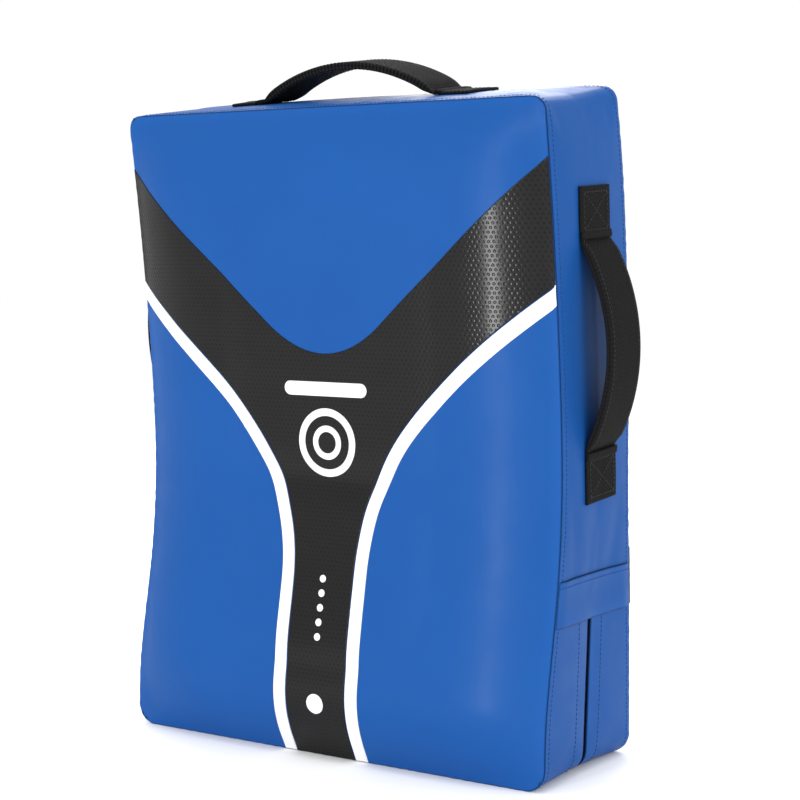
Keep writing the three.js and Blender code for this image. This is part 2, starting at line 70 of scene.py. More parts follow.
# ---------------------------------------------------------------- driving dimensions of the model
HALF = 210 * MM
FRONT_HEIGHT = 544 * MM
BACK_HEIGHT = 560 * MM
TOP_RADIUS = 12 * MM  # of the rounded corners
BOTTOM_RADIUS = 18 * MM
SKIN = 2 * MM
GAP = 0.3 * MM
FRONT_SEAM = [(0, -80), (60, -77), (165, -59), (240, -54), (330, -58.5), (450, -71.5), (560, -88)]
BACK_SEAM = [(0, 68.5), (110, 66.5), (230, 62.5), (330, 60.5), (430, 54), (500, 45.5), (560, 33)]
FRONT_RISE = 22 * MM
BACK_RISE = 32 * MM
SIDE_ROLL = 85 * MM
END_ROLL = 70 * MM
ROLL_POWER = 2.2
GUSSET_SEAM_Z = 150 * MM
ZIP_Y_BOTTOM = -9 * MM
SLIT_HALF = 2.5 * MM

ARM_TOP = 494 * MM
ARM_SLOPE = 0.84
NOTCH_HALF = 55 * MM
ARM_BOTTOM = 403 * MM  # 4 mm over the model's
STEM_HALF = 30 * MM
STEM_TOP = 150 * MM
STRIPE = 13 * MM

WEB_WIDTH = 50 * MM
WEB_THICK = 2.4 * MM
UPPER_BAND_Z = (357 * MM, 407 * MM)
LOWER_BAND_Z = (129 * MM, 178 * MM)
SIDE_HANDLE = {"half": 85 * MM, "rise": 24 * MM, "thick": 6 * MM, "tab": 42 * MM}
TOP_HANDLE = {"half": 88 * MM, "rise": 28 * MM, "thick": 6 * MM, "tab": 32 * MM}
ARM_LOOP = {"half": 89.2 * MM, "rise": 58 * MM, "thick": 12 * MM}
ARM_LOOP_X = 102 * MM
SIDE_HANDLE_Z = (266 * MM, 436 * MM)
SIDE_HANDLE_SHARE = 0.49
GRIP_HALF = 88 * MM
GRIP_RISE = 20 * MM
GRIP_THICK = 20 * MM
GRIP_Z = 472 * MM
RIVET_X = 103 * MM
RIVET_Z = (449 * MM, 496 * MM)
GARAGE_Z = (128 * MM, 165 * MM)
LABEL_Z = 372 * MM

# How the cover is divided and sewn.
CORNER_CELLS = 4
COLUMN_CELLS = 60
LOWER_CELLS = 19
UPPER_CELLS = 60
GUSSET_CELLS = 9
SLACK = 4.5 * MM  # how much smaller the cover starts before it is inflated
CAP = 6 * MM  # how far the inflated cover may move
FOLD = 1.1 * MM  # radius of the turned edge at a seam
SEAM_DEPTH = 1.9 * MM
COVER_THICK = 1.2 * MM
PRINT_RISE = 0.5 * MM  # thickness of the shapes on the strike face
MARK_RISE = 0.3 * MM
SLIT_COLUMN = 2 * GUSSET_CELLS  # of the finished gusset, in front of the zip
SIDE_LIMIT = HALF - 0.6 * MM  # how far out rays still meet the faces
NO_SEAM = 0.05  # a distance to seams at which materials show none
THREAD_LIFT = 0.05 * MM


# ---------------------------------------------------------------- form of the pad
def curve_through(knots):
    at = np.array([knot[0] for knot in knots]) * MM
    values = np.array([knot[1] for knot in knots]) * MM
    last = len(knots) - 1
    before = np.maximum(np.arange(last + 1) - 1, 0)
    after = np.minimum(np.arange(last + 1) + 1, last)
    slopes = (values[after] - values[before]) / (at[after] - at[before])

    def value(position):
        i = np.clip(np.searchsorted(at, position) - 1, 0, last - 1)
        span = at[i + 1] - at[i]
        t = (position - at[i]) / span
        rise = t * t * (3 - 2 * t)
        bends = slopes[i] * t * (1 - t) ** 2 - slopes[i + 1] * t * t * (1 - t)
        return values[i] + (values[i + 1] - values[i]) * rise + span * bends

    return value


front_curve = curve_through(FRONT_SEAM)
back_curve = curve_through(BACK_SEAM)
SHALLOWEST = max(depth for _, depth in FRONT_SEAM) * MM
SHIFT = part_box("front_panel")[1].y - SHALLOWEST - SKIN  # the model's depths start at its own origin


def front_seam(z):
    return front_curve(z) + SHIFT


def back_seam(z):
    return back_curve(z) + SHIFT


def zip_y(z):
    share = np.clip(z / GUSSET_SEAM_Z, 0, 1)
    return ZIP_Y_BOTTOM * (1 - share) + SHIFT


def radius_at(z, height):
    return np.where(z < height / 2, BOTTOM_RADIUS, TOP_RADIUS)


def corner_pull(distance, radius):
    into = np.clip(radius - distance, 0, radius)
    return radius - np.sqrt(radius**2 - into**2)


def roll_off(distance, width):
    return 1 - (1 - np.clip(distance / width, 0, 1)) ** ROLL_POWER


def swell(x, z, height):
    end = np.minimum(z, height - z)
    radius = radius_at(z, height)
    from_side = HALF - corner_pull(end, radius) - np.abs(x)
    from_end = end - corner_pull(np.maximum(HALF - np.abs(x), 0), radius)
    return roll_off(from_side, SIDE_ROLL) * roll_off(from_end, END_ROLL)


def front_y(x, z, slack=0.0):
    return front_seam(z) - (FRONT_RISE - slack) * swell(x, z, FRONT_HEIGHT)


def back_y(x, z, slack=0.0):
    return back_seam(z) + (BACK_RISE - slack) * swell(x, z, BACK_HEIGHT)


def stations(*parts):
    """Even steps through each (from, to, cells) part in turn."""
    lists = [np.linspace(a, b, cells + 1)[:-1] for a, b, cells in parts]
    return np.concatenate([*lists, [parts[-1][1]]])


def round_corners(x, z, height):
    """Moves a rectangle's points so that its corners become round, with even cells."""
    radius = radius_at(z, height)
    u = np.clip((np.abs(x) - HALF + radius) / radius, 0, 1)
    v = np.clip((radius - np.minimum(z, height - z)) / radius, 0, 1)
    pull_x = radius * u * (1 - np.sqrt(1 - v * v / 2))
    pull_z = radius * v * (1 - np.sqrt(1 - u * u / 2))
    return x - np.sign(x) * pull_x, z + np.where(z < height / 2, 1, -1) * pull_z


def face_grid(height, depth):
    """Points of a stuffed face, in rows from the bottom up and columns from left to right."""
    turn = HALF - BOTTOM_RADIUS
    xs = stations((-HALF, -turn, CORNER_CELLS), (-turn, turn, COLUMN_CELLS), (turn, HALF, CORNER_CELLS))
    low, high = BOTTOM_RADIUS, height - TOP_RADIUS
    zs = stations(
        (0, low, CORNER_CELLS), (low, GUSSET_SEAM_Z, LOWER_CELLS),
        (GUSSET_SEAM_Z, high, UPPER_CELLS), (high, height, CORNER_CELLS),
    )
    x, z = round_corners(*np.meshgrid(xs, zs), height)
    return np.stack([x, depth(x, z), z], -1)


def rim(rows, columns, start=0):
    """Rows and columns of a grid's border points in order: up the left side from start, across the top,
    down the right side, back along the bottom and up to start."""
    top, right = rows - 1, columns - 1
    path = [(j, 0) for j in range(start, top)]
    path += [(top, i) for i in range(right)]
    path += [(j, right) for j in range(top, 0, -1)]
    path += [(0, i) for i in range(right, 0, -1)]
    path += [(j, 0) for j in range(start)]
    return tuple(np.array(path).T)


def gusset_grid(front, back, row, inset):
    """Points round the edge, from the left side's gusset seam over the top: one row for each rim point, and
    columns from the front seam to the back seam with a narrow one along the zip."""
    ring = rim(*front.shape[:2], row)
    near, far = front[ring], back[ring]
    z = np.minimum(near[:, 2], GUSSET_SEAM_Z)
    start, width = front_seam(z), back_seam(z) - front_seam(z)
    first = (zip_y(z) - SLIT_HALF - start) / width
    second = (zip_y(z) + SLIT_HALF - start) / width
    steps = np.linspace(0, 1, GUSSET_CELLS + 1)
    share = np.concatenate(
        [first[:, None] * steps, second[:, None] + (1 - second[:, None]) * steps], axis=1
    )
    points = near[:, None] + (far - near)[:, None] * share[..., None]
    along = np.roll(near, -1, 0) - np.roll(near, 1, 0)
    inward = unit(np.cross(along, (0, 1, 0)))
    bow = inset * (4 * share * (1 - share))[..., None]
    return points - inward[:, None] * bow * inward_sign(near, inward)


def inward_sign(points, directions):
    """-1 where the directions point to the middle of the ring, so that taking them away moves in, else 1."""
    middle = points.mean(0)
    return 1.0 if np.mean(np.sum((points - middle) * directions, -1)) > 0 else -1.0


# ---------------------------------------------------------------- mesh helpers
def unit(vectors):
    return vectors / np.maximum(np.linalg.norm(vectors, axis=-1, keepdims=True), 1e-12)


def numbered(grid, start=0):
    """Vertex numbers of a grid of points."""
    return np.arange(grid[..., 0].size).reshape(grid.shape[:2]) + start


def quads(index, closed=False):
    """Faces of a grid of vertex numbers, closed across its columns or not."""
    if closed:
        index = np.concatenate([index, index[:, :1]], axis=1)
    corners = [index[:-1, :-1], index[:-1, 1:], index[1:, 1:], index[1:, :-1]]
    return np.stack(corners, -1).reshape(-1, 4)


def capped(index):
    """Faces of a closed tube with both ends capped."""
    return [*quads(index, closed=True), index[0][::-1], index[-1]]


def circle_turns(count):
    return np.arange(count) * 2 * np.pi / count


def run_along(points):
    """Distances along lines of points, which follow the first axis."""
    runs = np.linalg.norm(np.diff(points, axis=0), axis=-1).cumsum(0)
    return np.concatenate([np.zeros_like(runs[:1]), runs])


def sample(values, run, at):
    """Values at places along a run, between the known ones."""
    return np.stack([np.interp(at, run, column) for column in values.T], -1)


def new_piece(name, points, faces, paint=None, outward=None):
    """A smooth-shaded mesh. outward holds a direction for each point that its faces have to agree with."""
    points = np.asarray(points, float).reshape(-1, 3)
    faces = [[int(i) for i in face] for face in faces]
    if outward is not None:
        faces = facing(points, faces, np.asarray(outward, float).reshape(-1, 3))
    mesh = bpy.data.meshes.new(name)
    mesh.from_pydata(points.tolist(), [], faces)
    mesh.polygons.foreach_set("use_smooth", [True] * len(mesh.polygons))
    if paint:
        mesh.materials.append(paint)
    piece = bpy.data.objects.new(name, mesh)
    bpy.context.scene.collection.objects.link(piece)
    return piece


def facing(points, faces, outward):
    sample = faces[:: max(1, len(faces) // 400)]
    agree = 0.0
    for face in sample:
        a, b, c = points[face[0]], points[face[1]], points[face[2]]
        agree += float(np.dot(np.cross(b - a, c - b), outward[face].mean(0)))
    return faces if agree > 0 else [face[::-1] for face in faces]


def fix_normals(piece, merge=0.0):
    """Turns faces outwards, after joining points that are nearer than merge."""
    bm = bmesh.new()
    bm.from_mesh(piece.data)
    if merge:
        bmesh.ops.remove_doubles(bm, verts=bm.verts, dist=merge)
    bmesh.ops.recalc_face_normals(bm, faces=bm.faces)
    bm.to_mesh(piece.data)
    bm.free()
    return piece


def add_layer(piece, name, values, kind="FLOAT"):
    """Named values on the points, which materials read."""
    layer = piece.data.attributes.new(name, kind, "POINT")
    field = "vector" if kind == "FLOAT_VECTOR" else "value"
    layer.data.foreach_set(field, np.asarray(values, np.float32).ravel())
    return piece


def thicken(piece, thickness):
    solid = piece.modifiers.new("thickness", "SOLIDIFY")
    solid.thickness = thickness
    solid.offset = -1
    return piece


def settle(piece, replaced=(), body="pad"):
    """Says what a finished piece rides on and stands for."""
    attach(piece, body)
    if replaced:
        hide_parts(*replaced)
    return piece


def grid_normals(grid, outward):
    """Unit normals of a grid of points, on the side that outward, one direction or one for each, is on."""
    down = np.gradient(grid, axis=0)
    across = np.gradient(grid, axis=1)
    normals = unit(np.cross(down, across))
    sign = np.sign(np.sum(normals * outward, -1).mean())
    return normals * sign


def refine(grid, axis, closed=False):
    """Twice as many cells along an axis, with each new point on a smooth curve through its neighbours."""
    points = np.moveaxis(grid, axis, 0)
    before, after = 2 * points[:1] - points[1:2], 2 * points[-1:] - points[-2:-1]
    if closed:
        before, after = points[-1:], points[:2]
    padded = np.concatenate([before, points, after])
    middles = (-padded[:-3] + 9 * padded[1:-2] + 9 * padded[2:-1] - padded[3:]) / 16
    finer = np.empty((len(points) + len(middles), *points.shape[1:]))
    finer[0::2], finer[1::2] = points, middles
    return np.moveaxis(finer, 0, axis)


# ---------------------------------------------------------------- materials
def plug(tree, sockets, values):
    """Links or sets each socket, by whether its value is another node's output."""
    for socket, value in zip(sockets, values):
        if isinstance(value, bpy.types.NodeSocket):
            tree.links.new(value, socket)
        else:
            socket.default_value = value


def add_node(tree, kind, inputs=(), **settings):
    made = tree.nodes.new(kind)
    for key, value in settings.items():
        setattr(made, key, value)
    inputs = dict(inputs)
    plug(tree, [made.inputs[key] for key in inputs], inputs.values())
    return made


def new_material(name, roughness, **sockets):
    """A material, its tree, its shader and the place on its piece, which its patterns read."""
    paint = bpy.data.materials.new(name)
    paint.use_nodes = True
    tree = paint.node_tree
    shader = tree.nodes["Principled BSDF"]
    shader.inputs["Roughness"].default_value = roughness
    for key, value in sockets.items():
        shader.inputs[key.replace("_", " ")].default_value = value
    return paint, tree, shader, add_node(tree, "ShaderNodeTexCoord").outputs["Object"]


def noise_of(tree, vector, scale, detail=2.0, roughness=0.5):
    inputs = {"Vector": vector, "Scale": scale, "Detail": detail, "Roughness": roughness}
    return add_node(tree, "ShaderNodeTexNoise", inputs).outputs["Fac"]


def mapped(tree, value, low, high, start=0.0, end=1.0):
    inputs = {"Value": value, "From Min": start, "From Max": end, "To Min": low, "To Max": high}
    return add_node(tree, "ShaderNodeMapRange", inputs).outputs["Result"]


def maths(tree, operation, *values):
    made = add_node(tree, "ShaderNodeMath", operation=operation)
    plug(tree, made.inputs, values)
    return made.outputs[0]


def mix_colors(tree, factor, first, second):
    made = add_node(tree, "ShaderNodeMix", data_type="RGBA")
    sockets = {s.identifier: s for s in made.inputs}
    plug(tree, [sockets[key] for key in ("Factor_Float", "A_Color", "B_Color")], (factor, first, second))
    return next(s for s in made.outputs if s.identifier == "Result_Color")


def bump(tree, shader, height, distance, strength=1.0):
    inputs = {"Height": height, "Distance": distance, "Strength": strength}
    made = add_node(tree, "ShaderNodeBump", inputs)
    tree.links.new(made.outputs["Normal"], shader.inputs["Normal"])
    return made


def finish_with(tree, shader, color, roughness=None):
    tree.links.new(color, shader.inputs["Base Color"])
    if roughness is not None:
        tree.links.new(roughness, shader.inputs["Roughness"])


def shade(color, factor):
    return tuple(min(1.0, c * factor) for c in color[:3]) + (1.0,)


def leather(name, color, roughness, grain=0.00005, wear=0.25):
    """Smooth coated leather: fine grain, uneven polish, painted shade darkening it into its seams and a
    paler rub along them.
    """
    paint, tree, shader, where = new_material(
        name, roughness, Specular_IOR_Level=0.05, Coat_Weight=0.045, Coat_Roughness=0.28
    )
    cells = add_node(tree, "ShaderNodeTexVoronoi", {"Vector": where, "Scale": 620.0})
    fine = noise_of(tree, where, 1500.0, 3.0)
    height = maths(tree, "MULTIPLY_ADD", cells.outputs["Distance"], 0.8, fine)
    bump(tree, shader, height, grain, 0.55)
    clouds = noise_of(tree, where, 7.0, 5.0, 0.6)
    base = mix_colors(tree, clouds, shade(color, 0.9), shade(color, 1.1))
    seam = add_node(tree, "ShaderNodeAttribute", attribute_name="seam").outputs["Fac"]
    rub = maths(tree, "MULTIPLY", mapped(tree, seam, wear, 0.0, 0.001, 0.012), mapped(tree, fine, 0.0, 1.0))
    base = mix_colors(tree, rub, base, shade(color, 1.7))
    # painted shade: darker towards the seam, where the turned edge falls into shadow
    painted_seam_shade = mapped(tree, seam, 0.92, 0.0, -0.0002, 0.0017)
    base = mix_colors(tree, painted_seam_shade, base, shade(color, 0.12))
    polish = noise_of(tree, where, 45.0, 4.0, 0.6)
    finish_with(tree, shader, base, mapped(tree, polish, roughness - 0.06, roughness + 0.08, 0.3, 0.7))
    return paint


def dimpled_leather(name, color, roughness, pitch=4.2 * MM, radius=1.35 * MM):
    """Leather pressed with a honeycomb of small round dimples."""
    paint, tree, shader, where = new_material(
        name, roughness, Specular_IOR_Level=0.04, Coat_Weight=0.3, Coat_Roughness=0.16
    )
    parts = add_node(tree, "ShaderNodeSeparateXYZ", {"Vector": where})
    row = pitch * math.sqrt(3)
    distances = []
    for shift in (100.0, 100.5):
        squares = []
        for axis, step in (("X", pitch), ("Z", row)):
            cell = maths(tree, "ADD", maths(tree, "DIVIDE", parts.outputs[axis], step), shift)
            away = maths(tree, "MULTIPLY", maths(tree, "SUBTRACT", maths(tree, "FRACT", cell), 0.5), step)
            squares.append(maths(tree, "MULTIPLY", away, away))
        distances.append(maths(tree, "SQRT", maths(tree, "ADD", *squares)))
    nearest = maths(tree, "MINIMUM", *distances)
    dimple = mapped(tree, nearest, 0.0, 1.0, radius * 0.35, radius)
    fine = noise_of(tree, where, 1200.0, 3.0)
    height = maths(tree, "MULTIPLY_ADD", fine, 0.12, dimple)
    pressed = bump(tree, shader, height, 0.00014, 0.7)
    tree.links.new(pressed.outputs["Normal"], shader.inputs["Coat Normal"])
    clouds = noise_of(tree, where, 10.0, 5.0, 0.6)
    base = mix_colors(tree, clouds, shade(color, 1.3), shade(color, 1.8))
    # painted shade: the dimple hollows are darkened as if in shadow
    base = mix_colors(tree, mapped(tree, dimple, 0.85, 0.0), base, shade(color, 0.15))
    finish_with(tree, shader, base, mapped(tree, clouds, roughness - 0.04, roughness + 0.07))
    return paint


def woven(name, color, roughness=0.78, across=2.2 * MM, along=3.5 * MM):
    """Nylon webbing in a diagonal weave. The grain layer holds the place across and along the strap."""
    paint, tree, shader, where = new_material(name, roughness, Specular_IOR_Level=0.06)
    grain = add_node(tree, "ShaderNodeAttribute", attribute_name="grain").outputs["Vector"]
    parts = add_node(tree, "ShaderNodeSeparateXYZ", {"Vector": grain})
    u = maths(tree, "MULTIPLY", parts.outputs["X"], 2 * math.pi / across)
    v = maths(tree, "MULTIPLY", parts.outputs["Y"], 2 * math.pi / along)
    zigzag = maths(tree, "PINGPONG", parts.outputs["X"], 8.0 * MM)
    slanted = maths(tree, "SINE", maths(tree, "MULTIPLY_ADD", zigzag, 2 * math.pi / (4.0 * MM), v))
    warp = maths(tree, "MULTIPLY", maths(tree, "SINE", u), maths(tree, "COSINE", v))
    fluff = noise_of(tree, where, 1800.0, 3.0, 0.7)
    height = maths(tree, "ADD", maths(tree, "MULTIPLY", slanted, 0.55), maths(tree, "MULTIPLY", warp, 0.45))
    height = maths(tree, "MULTIPLY_ADD", fluff, 0.6, height)
    bump(tree, shader, height, 0.0003, 1.0)
    patchy = noise_of(tree, where, 30.0, 4.0, 0.6)
    # painted light and shade: raised threads of the weave are lightened and its hollows darkened, as light
    # would show the relief
    base = mix_colors(tree, mapped(tree, height, 0.0, 1.0, -0.8, 1.3), shade(color, 0.2), shade(color, 4.5))
    base = mix_colors(tree, mapped(tree, patchy, 0.0, 0.3, 0.35, 0.75), base, shade(color, 2.2))
    finish_with(tree, shader, base, mapped(tree, fluff, roughness - 0.1, roughness + 0.1))
    return paint


def fibrous(name, color, roughness, scale, depth, gloss=0.2):
    """Thread, foam or tape: uneven in tone and surface at one scale."""
    paint, tree, shader, where = new_material(name, roughness, Specular_IOR_Level=gloss)
    rough = noise_of(tree, where, scale, 4.0, 0.65)
    bump(tree, shader, rough, depth, 0.7)
    finish_with(tree, shader, mix_colors(tree, rough, shade(color, 0.7), shade(color, 1.25)))
    return paint


def metal(name, color, roughness):
    """Blackened metal, worn a little brighter and smoother in places."""
    paint, tree, shader, where = new_material(name, roughness, Metallic=0.9)
    stains = noise_of(tree, where, 260.0, 5.0, 0.65)
    scratches = noise_of(tree, where, 1600.0, 2.0)
    bump(tree, shader, scratches, 0.00002, 0.5)
    base = mix_colors(tree, mapped(tree, stains, 0.0, 1.0, 0.35, 0.7), shade(color, 0.6), shade(color, 1.7))
    finish_with(tree, shader, base, mapped(tree, stains, roughness - 0.1, roughness + 0.15))
    return paint


BLUE = (0.0085, 0.068, 0.26, 1.0)
BLACK = (0.004, 0.004, 0.0042, 1.0)
WHITE = (0.72, 0.72, 0.73, 1.0)
blue_leather = leather("blue_leather", BLUE, 0.42)
white_leather = leather("white_leather", WHITE, 0.45, wear=0.0)
black_leather = dimpled_leather("black_leather", BLACK, 0.32)
webbing = woven("black_webbing", (0.0034, 0.0034, 0.0036, 1.0))
blue_thread = fibrous("blue_thread", (0.004, 0.035, 0.14, 1.0), 0.6, 1800.0, 0.00008)
black_thread = fibrous("black_thread", (0.02, 0.02, 0.021, 1.0), 0.5, 1800.0, 0.00008)
foam = fibrous("foam", (0.7, 0.67, 0.55, 1.0), 0.95, 700.0, 0.0006)
tape = fibrous("zip_fabric", (0.012, 0.012, 0.014, 1.0), 0.85, 1500.0, 0.0001)
coil = fibrous("zip_coil", (0.02, 0.02, 0.022, 1.0), 0.35, 900.0, 0.00003)
dark_metal = metal("dark_metal", (0.045, 0.044, 0.043, 1.0), 0.3)
label_cloth = fibrous("label_cloth", (0.85, 0.85, 0.84, 1.0), 0.8, 1400.0, 0.00006)


# ---------------------------------------------------------------- the stuffed cover
def cover_start(slack):
    """The cover's three grids before it is inflated: strike face, back face and gusset."""
    front = face_grid(FRONT_HEIGHT, lambda x, z: front_y(x, z, slack))
    back = face_grid(BACK_HEIGHT, lambda x, z: back_y(x, z, slack))
    row = CORNER_CELLS + LOWER_CELLS
    return front, back, gusset_grid(front, back, row, slack * 0.6)


def inflate(points, faces, pinned):
    """Cloth under pressure from inside, held at its seams. Gives where each point ends up."""
    cover = fix_normals(new_piece("cover_cloth", points, faces))
    group = cover.vertex_groups.new(name="seams")
    group.add([int(i) for i in pinned], 1.0, "REPLACE")
    cloth = cover.modifiers.new("cloth", "CLOTH")
    settings = cloth.settings
    settings.quality = 4
    settings.mass = 0.2
    settings.tension_stiffness = 30
    settings.compression_stiffness = 30
    settings.shear_stiffness = 12
    settings.bending_stiffness = 3
    settings.vertex_group_mass = "seams"
    settings.use_pressure = True
    settings.uniform_pressure_force = 4
    settings.effector_weights.gravity = 0
    cloth.point_cache.frame_start = 1
    cloth.point_cache.frame_end = 20
    for number in range(1, 21):
        bpy.context.scene.frame_set(number)
    shaped = cover.evaluated_get(bpy.context.evaluated_depsgraph_get()).data
    moved = np.empty(len(points) * 3, np.float32)
    shaped.vertices.foreach_get("co", moved)
    bpy.context.scene.frame_set(1)
    mesh = cover.data
    bpy.data.objects.remove(cover)
    bpy.data.meshes.remove(mesh)
    return moved.reshape(-1, 3).astype(float)


def stuffed_cover():
    front, back, gusset = cover_start(SLACK)
    ring = rim(*front.shape[:2], CORNER_CELLS + LOWER_CELLS)
    front_index = numbered(front)
    back_index = front_index + front_index.size
    inner = gusset[:, 1:-1]
    inner_index = numbered(inner, 2 * front_index.size)
    gusset_index = np.concatenate([front_index[ring][:, None], inner_index, back_index[ring][:, None]], 1)
    closed = np.concatenate([gusset_index, gusset_index[:1]])
    points = np.concatenate([front.reshape(-1, 3), back.reshape(-1, 3), inner.reshape(-1, 3)])
    faces = np.concatenate([quads(front_index), quads(back_index), quads(closed)])
    lower = gusset_index[lower_stations(gusset)]
    slit = lower[:, GUSSET_CELLS : GUSSET_CELLS + 2].ravel()
    seams = gusset_index[[0, lower_start(gusset)]].ravel()
    pinned = np.unique(np.concatenate([front_index[ring], back_index[ring], slit, seams]))
    moved = inflate(points, faces, pinned)
    travel = moved - points
    length = np.linalg.norm(travel, axis=1, keepdims=True)
    points = points + travel * np.minimum(1, CAP / np.maximum(length, 1e-9))
    full_front, full_back, _ = cover_start(0.0)
    front = full_front + eased(points[front_index] - full_front)
    back = full_back + eased(points[back_index] - full_back)
    front[..., 1] = np.minimum(front[..., 1], full_front[..., 1] + 1 * MM)
    back[..., 1] = np.maximum(back[..., 1], full_back[..., 1] - 1 * MM)
    return front, back, points[gusset_index]


def eased(moves, rounds=10):
    """The moves of a grid's points with sharp steps smoothed out, and its border kept."""
    for _ in range(rounds):
        around = moves[:-2, 1:-1] + moves[2:, 1:-1] + moves[1:-1, :-2] + moves[1:-1, 2:]
        inner = 0.5 * moves[1:-1, 1:-1] + 0.125 * around
        moves = moves.copy()
        moves[1:-1, 1:-1] = inner
    return moves


def lower_start(gusset):
    """The gusset's row at its seam on the right side. The lower gusset runs from there to the end."""
    z = gusset[:, 0, 2]
    right = np.flatnonzero((gusset[:, 0, 0] > 0) & (z <= GUSSET_SEAM_Z + 0.1 * MM))
    return int(right[0])


def lower_stations(gusset):
    return np.concatenate([np.arange(lower_start(gusset), len(gusset)), [0]])


def wavering(position, distance):
    """Small puckers beside a seam, which fade out within about a centimetre."""
    phase = 2 * np.pi * position
    wave = np.sin(phase / 0.0125 + 1.7 * np.sin(phase / 0.071))
    swing = 0.6 + 0.4 * np.sin(phase / 0.047 + 0.5)
    return wave * swing * np.exp(-((distance / 0.007) ** 2)) * 0.28 * MM


def rumpled(grid, normals, distance, position):
    """A grid with puckers at its seams and shallow uneven dents."""
    flat = grid.reshape(-1, 3)
    dents = [noise.noise(Vector(p) * 11.0) + 0.35 * noise.noise(Vector(p) * 34.0) for p in flat]
    broad = np.reshape(dents, distance.shape) * np.clip(distance / 0.02, 0, 1) * 0.7 * MM
    return grid + normals * (broad + wavering(position, distance))[..., None]


def border_distance(grid, closed=False):
    """For each point of a grid, its distance to the nearest border, and its place along that border."""
    run_rows, run_columns = run_along(grid), run_along(grid.swapaxes(0, 1)).T
    to_sides = np.minimum(run_columns, run_columns[:, -1:] - run_columns)
    if closed:
        return to_sides, run_rows
    to_ends = np.minimum(run_rows, run_rows[-1:] - run_rows)
    nearest = np.minimum(to_sides, to_ends)
    return nearest, np.where(to_sides < to_ends, run_rows, run_columns)


def folded_panel(name, grid, normals, down, seam):
    """A panel whose border turns down into its seams, along the direction down at each border point."""
    rows, columns = grid.shape[:2]
    ring = rim(rows, columns)
    loop = grid[ring]
    inner = grid[np.clip(ring[0], 1, rows - 2), np.clip(ring[1], 1, columns - 2)]
    along = unit(np.roll(loop, -1, 0) - np.roll(loop, 1, 0))
    out = unit(np.cross(along, normals[ring]))
    out *= np.sign(np.sum(out * (loop - inner), -1).mean())
    points = grid.copy()
    points[ring] = loop - out * FOLD
    rings = []
    for u in (1 / 3, 2 / 3, 1.0):
        start, end = loop - out * FOLD, loop + down * FOLD
        rings.append((1 - u) ** 2 * start + 2 * u * (1 - u) * loop + u * u * end)
    rings.append(loop + down * SEAM_DEPTH)
    index = numbered(grid)
    folds = np.concatenate([index[ring][None], numbered(np.array(rings), index.size)])
    everything = np.concatenate([points.reshape(-1, 3), *rings])
    outward = np.concatenate([normals.reshape(-1, 3), *([normals[ring] + out] * len(rings))])
    faces = facing(everything, quads(index).tolist(), outward)
    faces += facing(everything, quads(folds, closed=True).tolist(), outward)
    panel = new_piece(name, everything, faces, blue_leather)
    # seam values of the turned rings drop below zero into the seam, so the leather's painted shade is
    # darkest down the fold
    levels = np.repeat([0.0006, 0.0, -0.0006, -0.0012], len(loop))
    add_layer(panel, "seam", np.concatenate([seam.ravel() + FOLD, levels]))
    thicken(panel, COVER_THICK)
    return panel


def build_cover():
    """Makes the cover's five panels. Gives their grids and normals, which other pieces lie on."""
    front, back, gusset = stuffed_cover()
    front, back = (refine(refine(grid, 0), 1) for grid in (front, back))
    gusset = refine(refine(gusset, 0, closed=True), 1)
    middle = np.array([0, SHIFT, BACK_HEIGHT / 2])
    normals = {"front": grid_normals(front, (0, -1, 0)), "back": grid_normals(back, (0, 1, 0))}
    wrapped = np.concatenate([gusset[-1:], gusset, gusset[:1]])
    normals["gusset"] = grid_normals(wrapped, (wrapped - middle) * (1, 0, 1))[1:-1]
    front_distance, front_place = border_distance(front)
    back_distance, back_place = border_distance(back)
    gusset_distance, gusset_place = border_distance(gusset, closed=True)
    front = rumpled(front, normals["front"], front_distance, front_place)
    back = rumpled(back, normals["back"], back_distance, back_place)
    beside_zip = slice(SLIT_COLUMN, SLIT_COLUMN + 3)
    kept = gusset[:, beside_zip].copy()
    gusset = rumpled(gusset, normals["gusset"], gusset_distance, gusset_place)
    gusset[:, beside_zip] = kept
    ring = rim(*front.shape[:2], 2 * (CORNER_CELLS + LOWER_CELLS))
    gusset[:, 0], gusset[:, -1] = front[ring], back[ring]

    into_front = -unit(normals["front"][ring] + normals["gusset"][:, 0])
    into_back = -unit(normals["back"][ring] + normals["gusset"][:, -1])
    order = rim(*front.shape[:2])
    lookup = {pair: i for i, pair in enumerate(zip(*ring))}
    shuffle = [lookup[pair] for pair in zip(*order)]
    strike = folded_panel("strike_face", front, normals["front"], into_front[shuffle], front_distance)
    rear = folded_panel("back_face", back, normals["back"], into_back[shuffle], back_distance)
    settle(strike, ["front_panel"])
    settle(rear, ["back_panel"])

    turn = lower_start(gusset)
    wrap, wrap_normals = (np.concatenate([rows, rows[:1]]) for rows in (gusset, normals["gusset"]))
    ends = [np.concatenate([rows, rows[:1]]) for rows in (into_front, into_back)]
    parts = [
        ("gusset_top", slice(0, turn + 1), slice(None), "gusset_upper"),
        ("gusset_zip_front", slice(turn, None), slice(0, SLIT_COLUMN + 1), "gusset_lower_front"),
        ("gusset_zip_rear", slice(turn, None), slice(SLIT_COLUMN + 2, None), "gusset_lower_rear"),
    ]
    for name, rows, columns, node in parts:
        grid, facing_out = wrap[rows, columns], wrap_normals[rows, columns]
        down = -facing_out
        if columns.start in (None, 0):
            down[:, 0] = ends[0][rows]
        if columns.stop is None:
            down[:, -1] = ends[1][rows]
        panel = folded_panel(name, grid, facing_out, down[rim(*grid.shape[:2])], border_distance(grid)[0])
        settle(panel, [node])
    return {"front": front, "back": back, "gusset": gusset}, normals, turn


grids, normals, TURN = build_cover()


